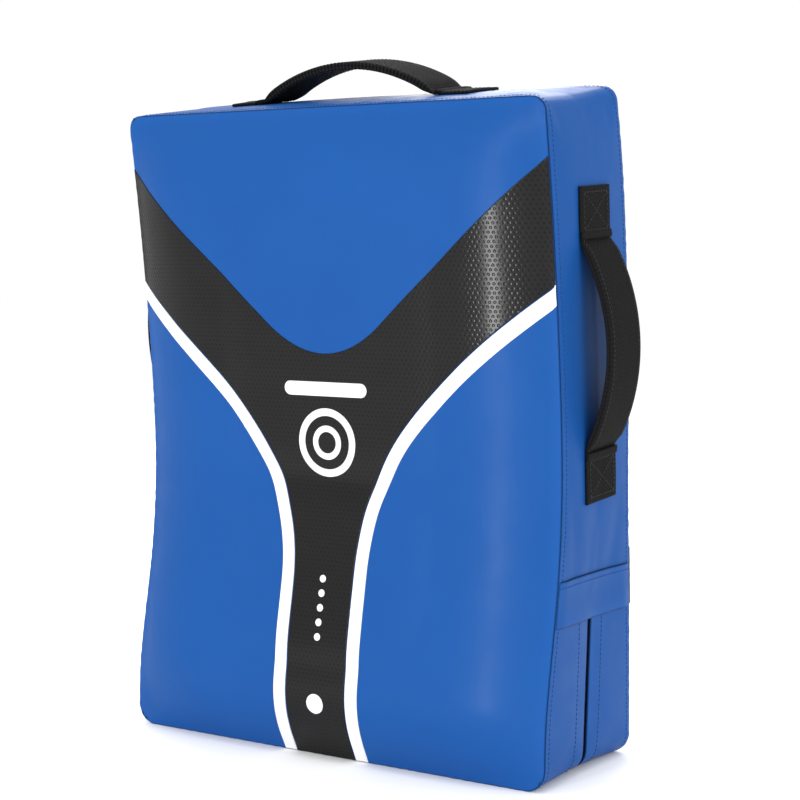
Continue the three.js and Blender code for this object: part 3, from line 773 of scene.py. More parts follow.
# ---------------------------------------------------------------- laying things on the cover
def surface_tree():
    points, faces, start = [], [], 0
    for key, closed in (("front", False), ("back", False), ("gusset", True)):
        grid = grids[key]
        if closed:
            grid = np.concatenate([grid, grid[:1]])
        index = numbered(grid, start)
        points.append(grid.reshape(-1, 3))
        faces.append(quads(index))
        start += index.size
    everything = np.concatenate(points)
    return BVHTree.FromPolygons(everything.tolist(), np.concatenate(faces).tolist())


surface = surface_tree()


def cast(origins, direction):
    """Where rays from the origins meet the cover."""
    shape = origins.shape
    toward = Vector(direction)
    hits = []
    for origin in origins.reshape(-1, 3):
        place = surface.ray_cast(Vector(origin), toward)[0]
        hits.append(place if place else surface.find_nearest(Vector(origin) + toward)[0])
    return np.array(hits).reshape(shape)


def on_face(side, x, z):
    """Points on the strike face, side -1, or the back, side 1, and the cover's normals there."""
    probes = []
    reach = 2 * MM
    for dx, dz in ((0, 0), (reach, 0), (-reach, 0), (0, reach), (0, -reach)):
        clear = np.clip(x + dx, -SIDE_LIMIT, SIDE_LIMIT)
        origin = np.stack([clear, np.full_like(x, side * 1.0), z + dz], -1)
        probes.append(cast(origin, (0, -side, 0)))
    centre, east, west, north, south = probes
    outward = unit(np.cross(east - west, north - south))
    outward *= np.sign(outward[..., 1:2]) * side
    return centre, outward


def on_back(x, z):
    return on_face(1, x, z)


class Place:
    """A spot on the cover: along runs between a handle's ends, across its width, and out from the cover."""

    def __init__(self, low, high, outward):
        self.origin = (low + high) / 2
        self.along = unit(high - low)
        self.out = unit(outward - self.along * np.dot(outward, self.along))
        self.across = np.cross(self.out, self.along)

    def point(self, u, v, w):
        u, v, w = (np.asarray(value, float)[..., None] for value in (u, v, w))
        return self.origin + self.along * u + self.across * v + self.out * w

    def ground(self, u, v):
        """Height of the cover over the place's own plane."""
        hits = cast(self.point(u, v, 0.05), -self.out)
        return np.sum((hits - self.origin) * self.out, -1)


def split_edges(outline, step):
    """A closed outline with no edge longer than step."""
    points = []
    for a, b in zip(outline, np.roll(outline, -1, 0)):
        count = max(1, math.ceil(np.linalg.norm(b - a) / step))
        points.extend(a + (b - a) * i / count for i in range(count))
    return np.array(points)


def inset_outline(outline, distance):
    before, after = np.roll(outline, 1, 0), np.roll(outline, -1, 0)
    ahead, behind = unit(after - outline), unit(outline - before)
    turned = np.stack([-(ahead + behind)[:, 1], (ahead + behind)[:, 0]], -1)
    area = 0.5 * np.sum(outline[:, 0] * after[:, 1] - after[:, 0] * outline[:, 1])
    return outline + unit(turned) * distance * np.sign(area)


def is_inside(points, outline):
    inside = np.zeros(len(points), bool)
    for (ax, az), (bx, bz) in zip(outline, np.roll(outline, -1, 0)):
        if az == bz:
            continue
        crosses = (az > points[:, 1]) != (bz > points[:, 1])
        inside ^= crosses & (points[:, 0] < (bx - ax) * (points[:, 1] - az) / (bz - az) + ax)
    return inside


SHOULDER = 2.6  # how far in a laid piece is flat, in widths of its edge


def laid_shape(name, outline, place_on, paint, height=PRINT_RISE, edge=0.3 * MM, step=4 * MM):
    """A thin piece with a soft edge, cut to a flat outline and laid on the cover by place_on(u, v)."""
    outline = split_edges(np.array(outline), step)
    shoulder, inner = inset_outline(outline, edge), inset_outline(outline, SHOULDER * edge)
    low, high = outline.min(0), outline.max(0)
    us = np.arange(low[0], high[0], step)
    vs = np.arange(low[1], high[1], step * 0.866)
    lattice = np.array([(u + (row % 2) * step / 2, v) for row, v in enumerate(vs) for u in us])
    lattice = lattice[is_inside(lattice, inner)]
    gaps = np.array([np.min(np.sum((outline - p) ** 2, 1)) for p in lattice]) ** 0.5
    lattice = lattice[gaps > step * 0.6]
    flat = np.concatenate([outline, shoulder, inner, lattice])
    count = len(outline)
    loops = [list(range(count))]
    spans = [(ring * count + i, ring * count + (i + 1) % count) for ring in (1, 2) for i in range(count)]
    made = delaunay_2d_cdt([Vector(p) for p in flat], spans, loops, 1, 1e-7)
    flat = np.array([tuple(p) for p in made[0]])
    border = np.array([any(i < count for i in found) for found in made[3]])
    ground, outward = place_on(flat[:, 0], flat[:, 1])
    lift = np.where(border, 0.05 * MM, height)
    piece = new_piece(name, ground + outward * lift[:, None], made[2], paint, outward)
    add_layer(piece, "seam", np.full(len(flat), NO_SEAM))
    return thicken(piece, max(0.35 * MM, height - 0.1 * MM))


def bezier(points, count):
    """Points on the curve with these controls, from just after its first to its last."""
    t = np.linspace(0, 1, count + 1)[1:, None]
    level = [np.array(p, float) for p in points]
    while len(level) > 1:
        level = [a * (1 - t) + b * t for a, b in zip(level, level[1:])]
    return level[0]


# ---------------------------------------------------------------- stitching
STITCH_WIDTH = 0.85 * MM
STITCH_HEIGHT = 0.42 * MM
STITCH_SLANT = 0.12
STITCH_INSET = 3.5 * MM  # from an edge of webbing or a patch
SEAM_INSET = 6 * MM  # from the gusset's seams
ZIP_INSET = 17 * MM  # from the zip


def stitch_template(length, width, height, sides=6):
    """A short thread lying along X: points and faces."""
    rings = [(-0.36, 0.75), (0.0, 1.0), (0.36, 0.75)]
    turns = circle_turns(sides)
    points = [(-length / 2, 0, 0)]
    for along, size in rings:
        points += [(along * length, width / 2 * size * np.cos(a), height * size * np.sin(a)) for a in turns]
    points.append((length / 2, 0, 0))
    last = len(points) - 1
    faces = [(0, 1 + (i + 1) % sides, 1 + i) for i in range(sides)]
    index = np.arange(1, last).reshape(len(rings), sides)
    faces += [tuple(face) for face in quads(index, closed=True)]
    faces += [(last, index[-1][i], index[-1][(i + 1) % sides]) for i in range(sides)]
    return np.array(points), faces


def spread_evenly(line, outward, pitch, closed):
    """Places at every pitch along a line of points, with the directions there."""
    if closed:
        line, outward = np.concatenate([line, line[:1]]), np.concatenate([outward, outward[:1]])
    run = run_along(line)
    count = max(2, int(run[-1] / pitch))
    at = (np.arange(count) + 0.5) * run[-1] / count
    ahead = sample(line, run, np.minimum(at + pitch * 0.3, run[-1]))
    behind = sample(line, run, np.maximum(at - pitch * 0.3, 0))
    return sample(line, run, at), unit(ahead - behind), unit(sample(outward, run, at))


def copies(name, template, faces, frames, paint):
    """One mesh with a copy of a template in every frame, which is a centre and three directions."""
    points, polygons = [], []
    for number, (centre, *directions) in enumerate(frames):
        points.append(centre + template @ np.stack(directions))
        polygons += [[number * len(template) + i for i in face] for face in faces]
    return fix_normals(new_piece(name, np.concatenate(points), polygons, paint))


def stitches(name, lines, paint, pitch=3.8 * MM, body="pad"):
    """Rows of single stitches. Each line is points, the directions out of the cloth, and closed or not."""
    template, faces = stitch_template(pitch * 0.74, STITCH_WIDTH, STITCH_HEIGHT)
    frames = []
    for line, outward, closed in lines:
        centres, along, out = spread_evenly(np.asarray(line), np.asarray(outward), pitch, closed)
        across = unit(np.cross(out, along))
        along = unit(along + across * STITCH_SLANT)
        across = unit(np.cross(out, along))
        frames += zip(centres, along, across, out)
    piece = copies(name, template, faces, frames, paint)
    if body:
        settle(piece, body=body)
    return piece


def at_distance(grid, normal_grid, distance, from_end=False):
    """The line on a grid at a distance from its first column, or its last."""
    if from_end:
        grid, normal_grid = grid[:, ::-1], normal_grid[:, ::-1]
    runs = run_along(grid.swapaxes(0, 1)).T
    line = np.array([sample(row, run, distance) for row, run in zip(grid, runs)])
    out = np.array([sample(row, run, distance) for row, run in zip(normal_grid, runs)])
    return line, unit(out)


def add_seam_stitches():
    gusset, out = grids["gusset"], normals["gusset"]
    lower = lower_stations(gusset)
    rows = [(*at_distance(gusset, out, SEAM_INSET, from_end), True) for from_end in (False, True)]
    for columns, from_end in ((slice(0, SLIT_COLUMN + 1), True), (slice(SLIT_COLUMN + 2, None), False)):
        half, half_out = gusset[lower][:, columns], out[lower][:, columns]
        rows.append((*at_distance(half, half_out, ZIP_INSET, from_end), False))
    for station in (3, TURN - 3):
        rows.append((gusset[station, 1:-1], out[station, 1:-1], False))
    return stitches("seam_stitches", rows, blue_thread)


add_seam_stitches()

# ---------------------------------------------------------------- strike face artwork
ART_EDGE = 0.8 * MM  # kept clear of the seams
ART_OUTSIDE = HALF + 5 * MM  # where outlines end before they are trimmed


def arm_edge(offset):
    """Lower edge of the Y's right arm and the side of its stem, out by offset, down to the bottom."""
    stem = STEM_HALF + offset
    start = (ART_OUTSIDE, ARM_BOTTOM - 1.25 * offset)
    bends = [(100 * MM + offset * 0.5, 315 * MM - offset), (stem, 260 * MM - offset * 0.4)]
    return np.array([start, *bezier([start, *bends, (stem, STEM_TOP)], 70), (stem, 0)])


def trimmed(points):
    limit = HALF - ART_EDGE
    points = np.array(points, float)
    return np.column_stack([np.clip(points[:, 0], -limit, limit), np.maximum(points[:, 1], ART_EDGE)])


def add_artwork():
    def on_strike(x, z):
        return on_face(-1, x, z)

    outside, notch = ART_OUTSIDE, NOTCH_HALF
    join = ARM_TOP - (HALF - notch) * ARM_SLOPE
    top = ARM_TOP + 5 * MM * ARM_SLOPE
    valley = bezier([(-notch, join), (0, join - notch * ARM_SLOPE), (notch, join)], 30)
    edge = arm_edge(0)
    outline = [(-outside, top), (-notch, join), *valley, (outside, top), *edge, *(edge * (-1, 1))[::-1]]
    panel = laid_shape("y_panel", trimmed(outline), on_strike, black_leather)
    settle(panel, ["front_y_panel"])
    inner, outer = arm_edge(0.6 * MM), arm_edge(STRIPE)
    for word, side in (("left", -1), ("right", 1)):
        outline = trimmed([*inner, *outer[::-1]]) * (side, 1)
        stripe = laid_shape(f"white_stripe_{word}", outline, on_strike, white_leather)
        settle(stripe, [f"stripe_{word}"])


def circle(x, z, radius, count=48):
    turns = circle_turns(count)
    return np.column_stack([x + radius * np.cos(turns), z + radius * np.sin(turns)])


def rounded_bar(x, z, length, height, count=12):
    """A bar with round ends."""
    turns = np.linspace(-np.pi / 2, np.pi / 2, count)
    cap = np.column_stack([np.cos(turns), np.sin(turns)]) * height / 2
    middle = length / 2 - height / 2
    return np.concatenate([cap + (middle, 0), -cap + (-middle, 0)]) + (x, z)


def laid_ring(name, centre, inner, outer, place_on, paint):
    """A flat ring with soft edges on another layer."""
    soft = 0.3 * MM
    insets = [0, soft, SHOULDER * soft]
    radii = [*(outer - inset for inset in insets), *(inner + inset for inset in insets[::-1])]
    lifts = [0.0, MARK_RISE, MARK_RISE, MARK_RISE, MARK_RISE, 0.0]
    rows = [circle(*centre, radius, 72) for radius in radii]
    ground, outward = place_on(*np.moveaxis(np.array(rows), -1, 0))
    points = ground + outward * np.array(lifts)[:, None, None]
    index = numbered(points)
    ring = new_piece(name, points, quads(index, closed=True), paint, outward)
    add_layer(ring, "seam", np.full(index.size, NO_SEAM))
    return thicken(ring, 0.4 * MM)


def add_marks():
    """Plain printed marks: a target with a bar above it, a column of dots and a small disc on the strike
    face, and two bars on the back."""
    def on_panel(x, z):
        ground, outward = on_face(-1, x, z)
        return ground + outward * PRINT_RISE, outward

    centre = (0, 266 * MM)
    for number, (inner, outer) in enumerate([(22.5 * MM, 29 * MM), (9 * MM, 14.5 * MM)]):
        ring = laid_ring(f"target_ring_{number}", centre, inner, outer, on_panel, white_leather)
        settle(ring)
    marks = [("target_bar", rounded_bar(0, 311 * MM, 84 * MM, 12 * MM), on_panel, white_leather)]
    for i in range(5):
        dot = circle(0, (104 + 12 * i) * MM, 3.2 * MM, 20)
        marks.append((f"stem_dot_{i}", dot, on_panel, white_leather))
    marks += [
        ("stem_disc", circle(0, 48 * MM, 8.5 * MM), on_panel, label_cloth),
        ("back_bar_upper", rounded_bar(0, 82 * MM, 112 * MM, 15 * MM), on_back, white_leather),
        ("back_bar_lower", rounded_bar(0, 62 * MM, 62 * MM, 7 * MM), on_back, white_leather),
    ]
    for name, outline, place_on, paint in marks:
        mark = laid_shape(name, outline, place_on, paint, MARK_RISE)
        settle(mark)


add_artwork()
add_marks()

# ---------------------------------------------------------------- webbing
RIB = 1.75 * MM  # distance between webbing ribs' crests and hollows
RIB_RISE = 0.16 * MM


def webbing_section(width, thick, columns=13):
    """Closed section of flat webbing: across and height for each point, over the top and back underneath."""
    edge = 0.7 * MM
    across = np.linspace(-width / 2 + edge, width / 2 - edge, columns)
    half, soft = width / 2, 0.15 * MM
    side = np.array([(half - soft, thick * 0.85), (half, thick / 2), (half - soft, thick * 0.15)])
    top = np.column_stack([across, np.full(columns, thick)])
    bottom = np.column_stack([across[::-1], np.zeros(columns)])
    return np.concatenate([top, side, bottom, side[::-1] * (-1, 1)])


def webbing_mesh(name, points, grain):
    """A closed strip of webbing from rings of points, with its ends capped."""
    piece = fix_normals(new_piece(name, points, capped(numbered(points)), webbing))
    return add_layer(piece, "grain", grain, "FLOAT_VECTOR")


def laid_webbing(name, place_on, run, width, lift, thick=WEB_THICK):
    """Webbing that lies on the cover. place_on(u, v) gives the ground, and lift(u, v) raises it."""
    count = int(round((run[1] - run[0]) / RIB))
    us = np.linspace(*run, count + 1)
    section = webbing_section(width, thick)
    distinct, which = np.unique(np.round(section[:, 0], 7), return_inverse=True)
    ground, outward = place_on(*np.meshgrid(us, distinct, indexing="ij"))
    ground, outward = ground[:, which], outward[:, which]
    ribs = np.where(np.arange(count + 1) % 2, RIB_RISE, -RIB_RISE)[:, None] * (section[:, 1] > thick * 0.95)
    u, v = np.meshgrid(us, section[:, 0], indexing="ij")
    height = section[:, 1] + ribs + lift(u, v) + GAP / 2
    grain = np.stack([v, u, height], -1)
    return webbing_mesh(name, ground + outward * height[..., None], grain)


def smooth_step(value):
    t = np.clip(value, 0, 1)
    return t * t * (3 - 2 * t)


def plateau(distance, half, blend=3 * MM):
    """1 within half of a middle, falling to 0 just beyond it."""
    return 1 - smooth_step((np.abs(distance) - half) / blend)


LOOP_TAIL = 2.0 * MM  # how far a loop's sewn tail lifts the band over it


def band_lift(u, v):
    tails = sum(plateau(u - side * ARM_LOOP_X, WEB_WIDTH / 2 - 1 * MM) for side in (-1, 1))
    tucked = smooth_step((np.abs(u) - HALF + 4 * MM) / (3.6 * MM))
    return tails * LOOP_TAIL - tucked * 1.8 * MM


def box_lines(half_u, half_v, u0):
    """The ends of each line of a sewn box with a cross in it."""
    corners = [(u0 + a * half_u, b * half_v) for a, b in ((-1, -1), (1, -1), (1, 1), (-1, 1))]
    lines = [[corners[i], corners[(i + 1) % 4]] for i in range(4)]
    return [*lines, [corners[0], corners[2]], [corners[1], corners[3]]]


def sewn_on(place_on, lift, lines, count=24):
    """Stitch rows that follow lines over webbing that lies on the cover."""
    rows = []
    for start, end in lines:
        u, v = np.linspace(start, end, count).T
        ground, outward = place_on(u, v)
        raised = ground + outward * (WEB_THICK + THREAD_LIFT + GAP / 2 + lift(u, v))[..., None]
        rows.append((raised, outward, False))
    return rows


def add_bands():
    rows = []
    for word, (low, high) in (("upper", UPPER_BAND_Z), ("lower", LOWER_BAND_Z)):
        middle, width = (low + high) / 2, high - low

        def place_on(u, v, middle=middle):
            return on_back(u, middle + v)

        band = laid_webbing(f"back_band_{word}", place_on, (-SIDE_LIMIT, SIDE_LIMIT), width, band_lift)
        settle(band, [f"{word}_band"])
        inset, end = width / 2 - STITCH_INSET, SIDE_LIMIT - 5 * MM
        lines = [[(-end, side * inset), (end, side * inset)] for side in (-1, 1)]
        for side in (-1, 1):
            lines += box_lines(21 * MM, inset - 1 * MM, side * ARM_LOOP_X)
        rows += sewn_on(place_on, band_lift, lines, 120)
    stitches("band_stitches", rows, black_thread)


add_bands()


# ---------------------------------------------------------------- straps that stand up
def strap_section(width, thick, edge, columns=11):
    """Closed section of doubled webbing, thickest in the middle, with a groove between its layers."""
    share = np.linspace(-1, 1, columns)
    top = edge + (thick / 2 - edge) * (1 - np.abs(share) ** 3)
    half = width / 2
    upper = np.array([(half - 0.1 * MM, edge * 0.72), (half, edge * 0.45), (half - 0.25 * MM, edge * 0.15)])
    side = np.concatenate([upper, [(half - 1.1 * MM, 0)], upper[::-1] * (1, -1)])
    over = np.column_stack([share * (half - 0.5 * MM), top])
    return np.concatenate([over, side, over[::-1] * (1, -1), side[::-1] * (-1, 1)])


def resample(line, step):
    for _ in range(3):
        line = refine(line, 0)
    run = run_along(line)
    at = np.linspace(0, run[-1], int(run[-1] / step) + 1)
    return sample(line, run, at), at


def arch_line(place, radius, centre, half, lead, steps):
    """Middle line of an arch in its place's plane, down to the cover at both ends through steps, which are
    distances from its middle and heights over the cover."""
    us = np.linspace(lead - half, half - lead, 15)
    arc = np.column_stack([us, centre + np.sqrt(radius**2 - us**2)])
    feet = []
    for side in (-1, 1):
        ground = float(place.ground(side * half, 0.0))
        feet.append([(side * u, w + ground) for u, w in steps])
    return np.array([*feet[0], *arc, *feet[1][::-1]])


def strap(body, place, line, thickness, edges, ends, lift_end):
    """A strap swept along a line in its place's plane."""
    line, run = resample(line, RIB)
    name, width = f"{body}_strap", WEB_WIDTH
    tangent = unit(np.gradient(line, axis=0))
    normal = np.column_stack([-tangent[:, 1], tangent[:, 0]])
    sections = np.array([strap_section(width, thickness(u), edges(u)) for u in line[:, 0]])
    ribs = np.where(np.arange(len(line)) % 2, RIB_RISE, -RIB_RISE)[:, None]
    flat = np.abs(sections[..., 0]) < width / 2 - 0.7 * MM
    across, height = sections[..., 0], sections[..., 1] + ribs * flat * np.sign(sections[..., 1])
    u = line[:, :1] + normal[:, :1] * height
    w = line[:, 1:] + normal[:, 1:] * height
    grain = np.stack([across, np.broadcast_to(run[:, None], across.shape), height], -1)
    piece = webbing_mesh(name, place.point(u, across, w), grain)
    rows = []
    beside = width / 2 - STITCH_INSET
    crown = 1 - (beside / (width / 2 - 0.5 * MM)) ** 3
    top = np.array([edges(x) + (thickness(x) / 2 - edges(x)) * crown for x in line[:, 0]]) + THREAD_LIFT
    for side in (-1, 1):
        for face in (-1, 1):
            over = line + face * normal * top[:, None]
            out = face * (place.along * normal[:, :1] + place.out * normal[:, 1:])
            rows.append((place.point(over[:, 0], np.full(len(line), side * beside), over[:, 1]), out, False))
    seams = stitches(f"{name}_stitches", rows, black_thread, body=None)
    for item in (piece, seams):
        place.point(0, 0, 0)
        place.point(0, 0, lift_end)
        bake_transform(item)
    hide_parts(f"{body}_loop", *(f"{body}_root_{end}" for end in ends))
    return piece


def add_web_handle(name, place, size, ends):
    half, rise, thick, tab = (size[key] for key in ("half", "rise", "thick", "tab"))
    inside = (half**2 + rise**2) / (2 * rise)
    low, tuck = 1.0 * MM, 5 * MM
    steps = [(half + tuck, low), (half + 0.5 * MM, low), (half - 4.5 * MM, low + 2.2 * MM)]
    line = arch_line(place, inside + thick / 2, rise - inside, half, 15 * MM, steps)

    def thickness(u):
        return thick - (thick - 1.5 * MM) * float(smooth_step((abs(u) - half + 12 * MM) / (12 * MM)))

    def edges(u):
        return thickness(u) / 2 * 0.94

    strap(name, place, line, thickness, edges, ends, 22 * MM)

    def place_on(u, v):
        return place.point(u, v, place.ground(u, v)), np.broadcast_to(place.out, (*np.shape(u), 3))

    for side, end in zip((-1, 1), ends):
        inner, outer = half + 0.3 * MM, half + tab

        def lift(u, v, side=side, inner=inner):
            return 1.75 * MM * (1 - smooth_step((np.abs(u) - inner - tuck + 0.5 * MM) / (2.5 * MM)))

        run = (inner, outer) if side > 0 else (-outer, -inner)
        patch = laid_webbing(f"{name}_patch_{end}", place_on, run, WEB_WIDTH, lift)
        settle(patch, [f"{name}_tab_{end}"])
        lines = box_lines(tab / 2 - 6 * MM, WEB_WIDTH / 2 - 5 * MM, side * (inner + outer + 2 * MM) / 2)
        stitches(f"{name}_patch_{end}_stitches", sewn_on(place_on, lift, lines), black_thread)


def add_arm_loop(word, place):
    half, rise, thick = (ARM_LOOP[key] for key in ("half", "rise", "thick"))
    crown = rise + thick
    outside = (half**2 + crown**2) / (2 * crown)
    steps = [(half + 2.5 * MM, 1.6 * MM), (half - 3.2 * MM, 3.4 * MM)]
    line = arch_line(place, outside - thick / 2, crown - outside, half, 12 * MM, steps)

    def thickness(u):
        return thick - (thick - 4.2 * MM) * float(smooth_step((abs(u) - half + 34 * MM) / (34 * MM)))

    def edges(u):
        return 2.3 * MM - 0.3 * MM * float(smooth_step((abs(u) - half + 20 * MM) / (20 * MM)))

    loop = strap(f"arm_loop_{word}", place, line, thickness, edges, ("lower", "upper"), 46 * MM)


def side_place(side):
    share = SIDE_HANDLE_SHARE
    low, high = (
        np.array((side * HALF, front_seam(z) * (1 - share) + back_seam(z) * share, z)) for z in SIDE_HANDLE_Z
    )
    return Place(low, high, np.array((side, 0, 0)))


def top_place():
    front = np.array((0, front_seam(FRONT_HEIGHT), FRONT_HEIGHT))
    back = np.array((0, back_seam(BACK_HEIGHT), BACK_HEIGHT))
    sideways = np.array((TOP_HANDLE["half"], 0, 0))
    middle = (front + back) / 2
    return Place(middle - sideways, middle + sideways, np.cross(sideways, back - front))


def back_point(x, z):
    return np.array((x, float(back_y(x, z)), z))


def loop_place(side):
    middle = (LOWER_BAND_Z[1] + UPPER_BAND_Z[0]) / 2
    low, high = (back_point(side * ARM_LOOP_X, middle + end * ARM_LOOP["half"]) for end in (-1, 1))
    return Place(low, high, np.array((0, 1, 0)))


add_web_handle("top_handle", top_place(), TOP_HANDLE, ["left", "right"])
for side_word, side_sign in (("left", -1), ("right", 1)):
    add_web_handle(f"side_handle_{side_word}", side_place(side_sign), SIDE_HANDLE, ["lower", "upper"])
    add_arm_loop(side_word, loop_place(side_sign))


# ---------------------------------------------------------------- padded grip on the back
def back_place(x, z, half):
    reach = 12 * MM
    upwards = back_point(x, z + reach) - back_point(x, z - reach)
    return Place(back_point(x - half, z), back_point(x + half, z), np.cross(upwards, (1, 0, 0)))


def grip_profile(u):
    """At a place along the grip: height of its middle, half its thickness and half its width."""
    inside = (GRIP_HALF**2 + GRIP_RISE**2) / (2 * GRIP_RISE)
    radius = inside + GRIP_THICK / 2
    arch = GRIP_RISE - inside + np.sqrt(radius**2 - u**2)
    fall = smooth_step((np.abs(u) - 56 * MM) / (GRIP_HALF - 56 * MM))
    flare = np.clip((np.abs(u) - 58 * MM) / (GRIP_HALF - 60 * MM), 0, 1) ** 1.8
    middle = arch * (1 - fall) + 2.2 * MM * fall
    thick = GRIP_THICK / 2 * (1 - fall) + 1.9 * MM * fall
    return middle, thick, (19 + 9 * flare) * MM


def add_grip():
    place = back_place(0, GRIP_Z, GRIP_HALF)
    us = np.linspace(-GRIP_HALF + 0.2 * MM, GRIP_HALF - 0.2 * MM, 140)
    out_to = np.abs(us)
    turns = circle_turns(44)
    middle, thick, width = grip_profile(us)
    round_off = np.sqrt(np.clip(1 - ((out_to - GRIP_HALF + 3 * MM) / (3 * MM)).clip(0) ** 2, 0.05, 1))
    power = 2 / 2.5
    across, height = (np.sign(wave) * np.abs(wave) ** power for wave in (np.cos(turns), np.sin(turns)))
    pinch = np.exp(-(((out_to - 80 * MM) / (3.2 * MM)) ** 2)) * 1.4 * MM
    waves = np.sin(us[:, None] / (5.5 * MM) + 2 * np.sin(turns))
    crumple = 0.5 * MM * waves * smooth_step((out_to - 50 * MM) / (25 * MM))[:, None]
    v = across * width[:, None]
    w = middle[:, None] + height * (thick * round_off - pinch)[:, None] + crumple * np.maximum(height, 0)
    u = np.broadcast_to(us[:, None], v.shape)
    points = place.point(u, v, w)
    sleeve = fix_normals(new_piece("rear_grip_sleeve", points, capped(numbered(points)), blue_leather))
    from_edge = np.minimum(np.abs(v - width[:, None]), GRIP_HALF - np.abs(u)) + 1.2 * MM
    add_layer(sleeve, "seam", from_edge)
    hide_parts("grip_sleeve", "grip_core", "grip_root_left", "grip_root_right")

    rim_u = us[out_to < GRIP_HALF - 4 * MM]
    middle, thick, width = grip_profile(rim_u)
    turns = circle_turns(12)
    run, around = np.meshgrid(rim_u, turns, indexing="ij")
    v = width[:, None] + 0.4 * MM + 1.5 * MM * np.cos(turns)
    w = (middle - thick * 0.25)[:, None] + 3.0 * MM * np.sin(turns)
    piping = place.point(run, v, w)
    grain = np.stack([around * 2 * MM, run, run * 0], -1)
    binding = webbing_mesh("rear_grip_binding", piping, grain)
    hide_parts("grip_binding")
    out = np.broadcast_to(place.out, (len(rim_u), 3))
    row = (place.point(rim_u, width - 4 * MM, middle + thick * 0.72 + 0.1 * MM), out, False)
    seams = stitches("rear_grip_stitches", [row], blue_thread, body=None)
    for piece, slot in ((sleeve, "blue_leather"), (binding, "webbing"), (seams, "blue_leather")):
        place.point(0, 0, 2 * MM)
        place.point(0, 0, 18 * MM)
        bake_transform(piece)
    add_grip_patches()


def patch_outline(side):
    half, point, tip, inner = 32 * MM, 9 * MM, 125 * MM, GRIP_HALF + GAP
    lower = [(inner, -half), (tip - 20 * MM, -half), (tip, -point)]
    upper = [(x, -z) for x, z in reversed(lower)]
    return np.array([(side * x, GRIP_Z + z) for x, z in lower + upper])


def add_grip_patches():
    rows = []
    for word, side in (("left", -1), ("right", 1)):
        outline = patch_outline(side)
        patch = laid_shape(f"rivet_patch_{word}", outline, on_back, blue_leather, 1.3 * MM, 1 * MM)
        settle(patch, [f"grip_patch_{word}"])
        line = split_edges(inset_outline(outline, STITCH_INSET), 2 * MM)
        ground, outward = on_back(*line.T)
        rows.append((ground + outward * 1.35 * MM, outward, True))
        for z, level in zip(RIVET_Z, ("lower", "upper")):
            add_rivet(f"rivet_{word}_{level}", side * RIVET_X, z)
    stitches("rivet_patch_stitches", rows, blue_thread, pitch=3.2 * MM)


def add_rivet(name, x, z):
    """A ring-shaped rivet head on its tail, with a hollow middle and a rolled rim."""
    ground, outward = on_back(np.array([x]), np.array([z]))
    spot = Place(ground[0] - (1 * MM, 0, 0), ground[0] + (1 * MM, 0, 0), outward[0])
    profile = np.array([
        (0.0, -4.6), (3.2, -4.6), (3.4, -4.2), (1.8, -4.0), (1.8, 1.4), (4.9, 1.45), (5.3, 1.8), (5.35, 2.3),
        (5.0, 3.0), (4.3, 3.5), (3.5, 3.6), (2.9, 3.3), (2.6, 2.7), (2.4, 1.9), (1.6, 1.6), (0.0, 1.5),
    ]) * MM
    turns = circle_turns(40)
    radius, height = profile[:, :1], profile[:, 1:]
    points = spot.point(radius * np.cos(turns), radius * np.sin(turns), height)
    ring = new_piece(f"{name}_ring", points, quads(numbered(points), closed=True), dark_metal)
    settle(fix_normals(ring, merge=1e-6), [name])


add_grip()


# ---------------------------------------------------------------- zip, its cover flap and the label
def add_zip():
    gusset, out = grids["gusset"], normals["gusset"]
    lower, middle = lower_stations(gusset), SLIT_COLUMN + 1
    line, outward = gusset[lower, middle], out[lower, middle]
    sideways = unit(gusset[lower, middle + 1] - gusset[lower, middle - 1])
    pitch, depth = 2.6 * MM, 4.8 * MM
    template, faces = stitch_template(3.6 * MM, 2.4 * MM, 1.0 * MM)
    centres, along, up = spread_evenly(line, outward, pitch, False)
    across = spread_evenly(line, sideways, pitch, False)[2]
    for word, side in (("front", -1), ("rear", 1)):
        beside = centres - up * depth + across * side * 1.35 * MM + along * side * pitch / 4
        teeth = copies(f"zip_coil_{word}", template, faces, zip(beside, across, along, up), coil)
        settle(teeth, [f"zip_teeth_{word}"])


def add_garage():
    """The flap over the zip's closed end: sewn along its top, loose along its lower edge."""
    rows, columns = 15, 30
    z = np.linspace(*GARAGE_Z, rows)[:, None]
    share = np.linspace(0, 1, columns)
    y = (front_seam(z) + 1.0 * MM) * (1 - share) + (back_seam(z) - 1.0 * MM) * share
    z = np.broadcast_to(z, y.shape)
    origins = np.stack([np.full(y.shape, HALF + 0.05), y, z], -1)
    ground = cast(origins, (-1, 0, 0))
    fall = (GARAGE_Z[1] - z) / (GARAGE_Z[1] - GARAGE_Z[0])
    sag = np.sin(np.pi * share) * (0.6 + 0.5 * np.sin(7 * share)) * fall**2
    tucked = 1 - smooth_step(np.minimum(share, 1 - share) / 0.09)
    grid = ground + (1, 0, 0) * (1.9 * MM + 1.7 * MM * sag - 1.5 * MM * tucked)[..., None]
    out = grid_normals(grid, (1, 0, 0))
    ring = rim(rows, columns)
    flap = folded_panel("zip_flap", grid, out, -out[ring], border_distance(grid)[0])
    settle(flap, ["zip_garage"])
    row = rows - 3
    line = (grid[row] + out[row] * THREAD_LIFT, out[row], False)
    stitches("zip_flap_stitches", [line], blue_thread)


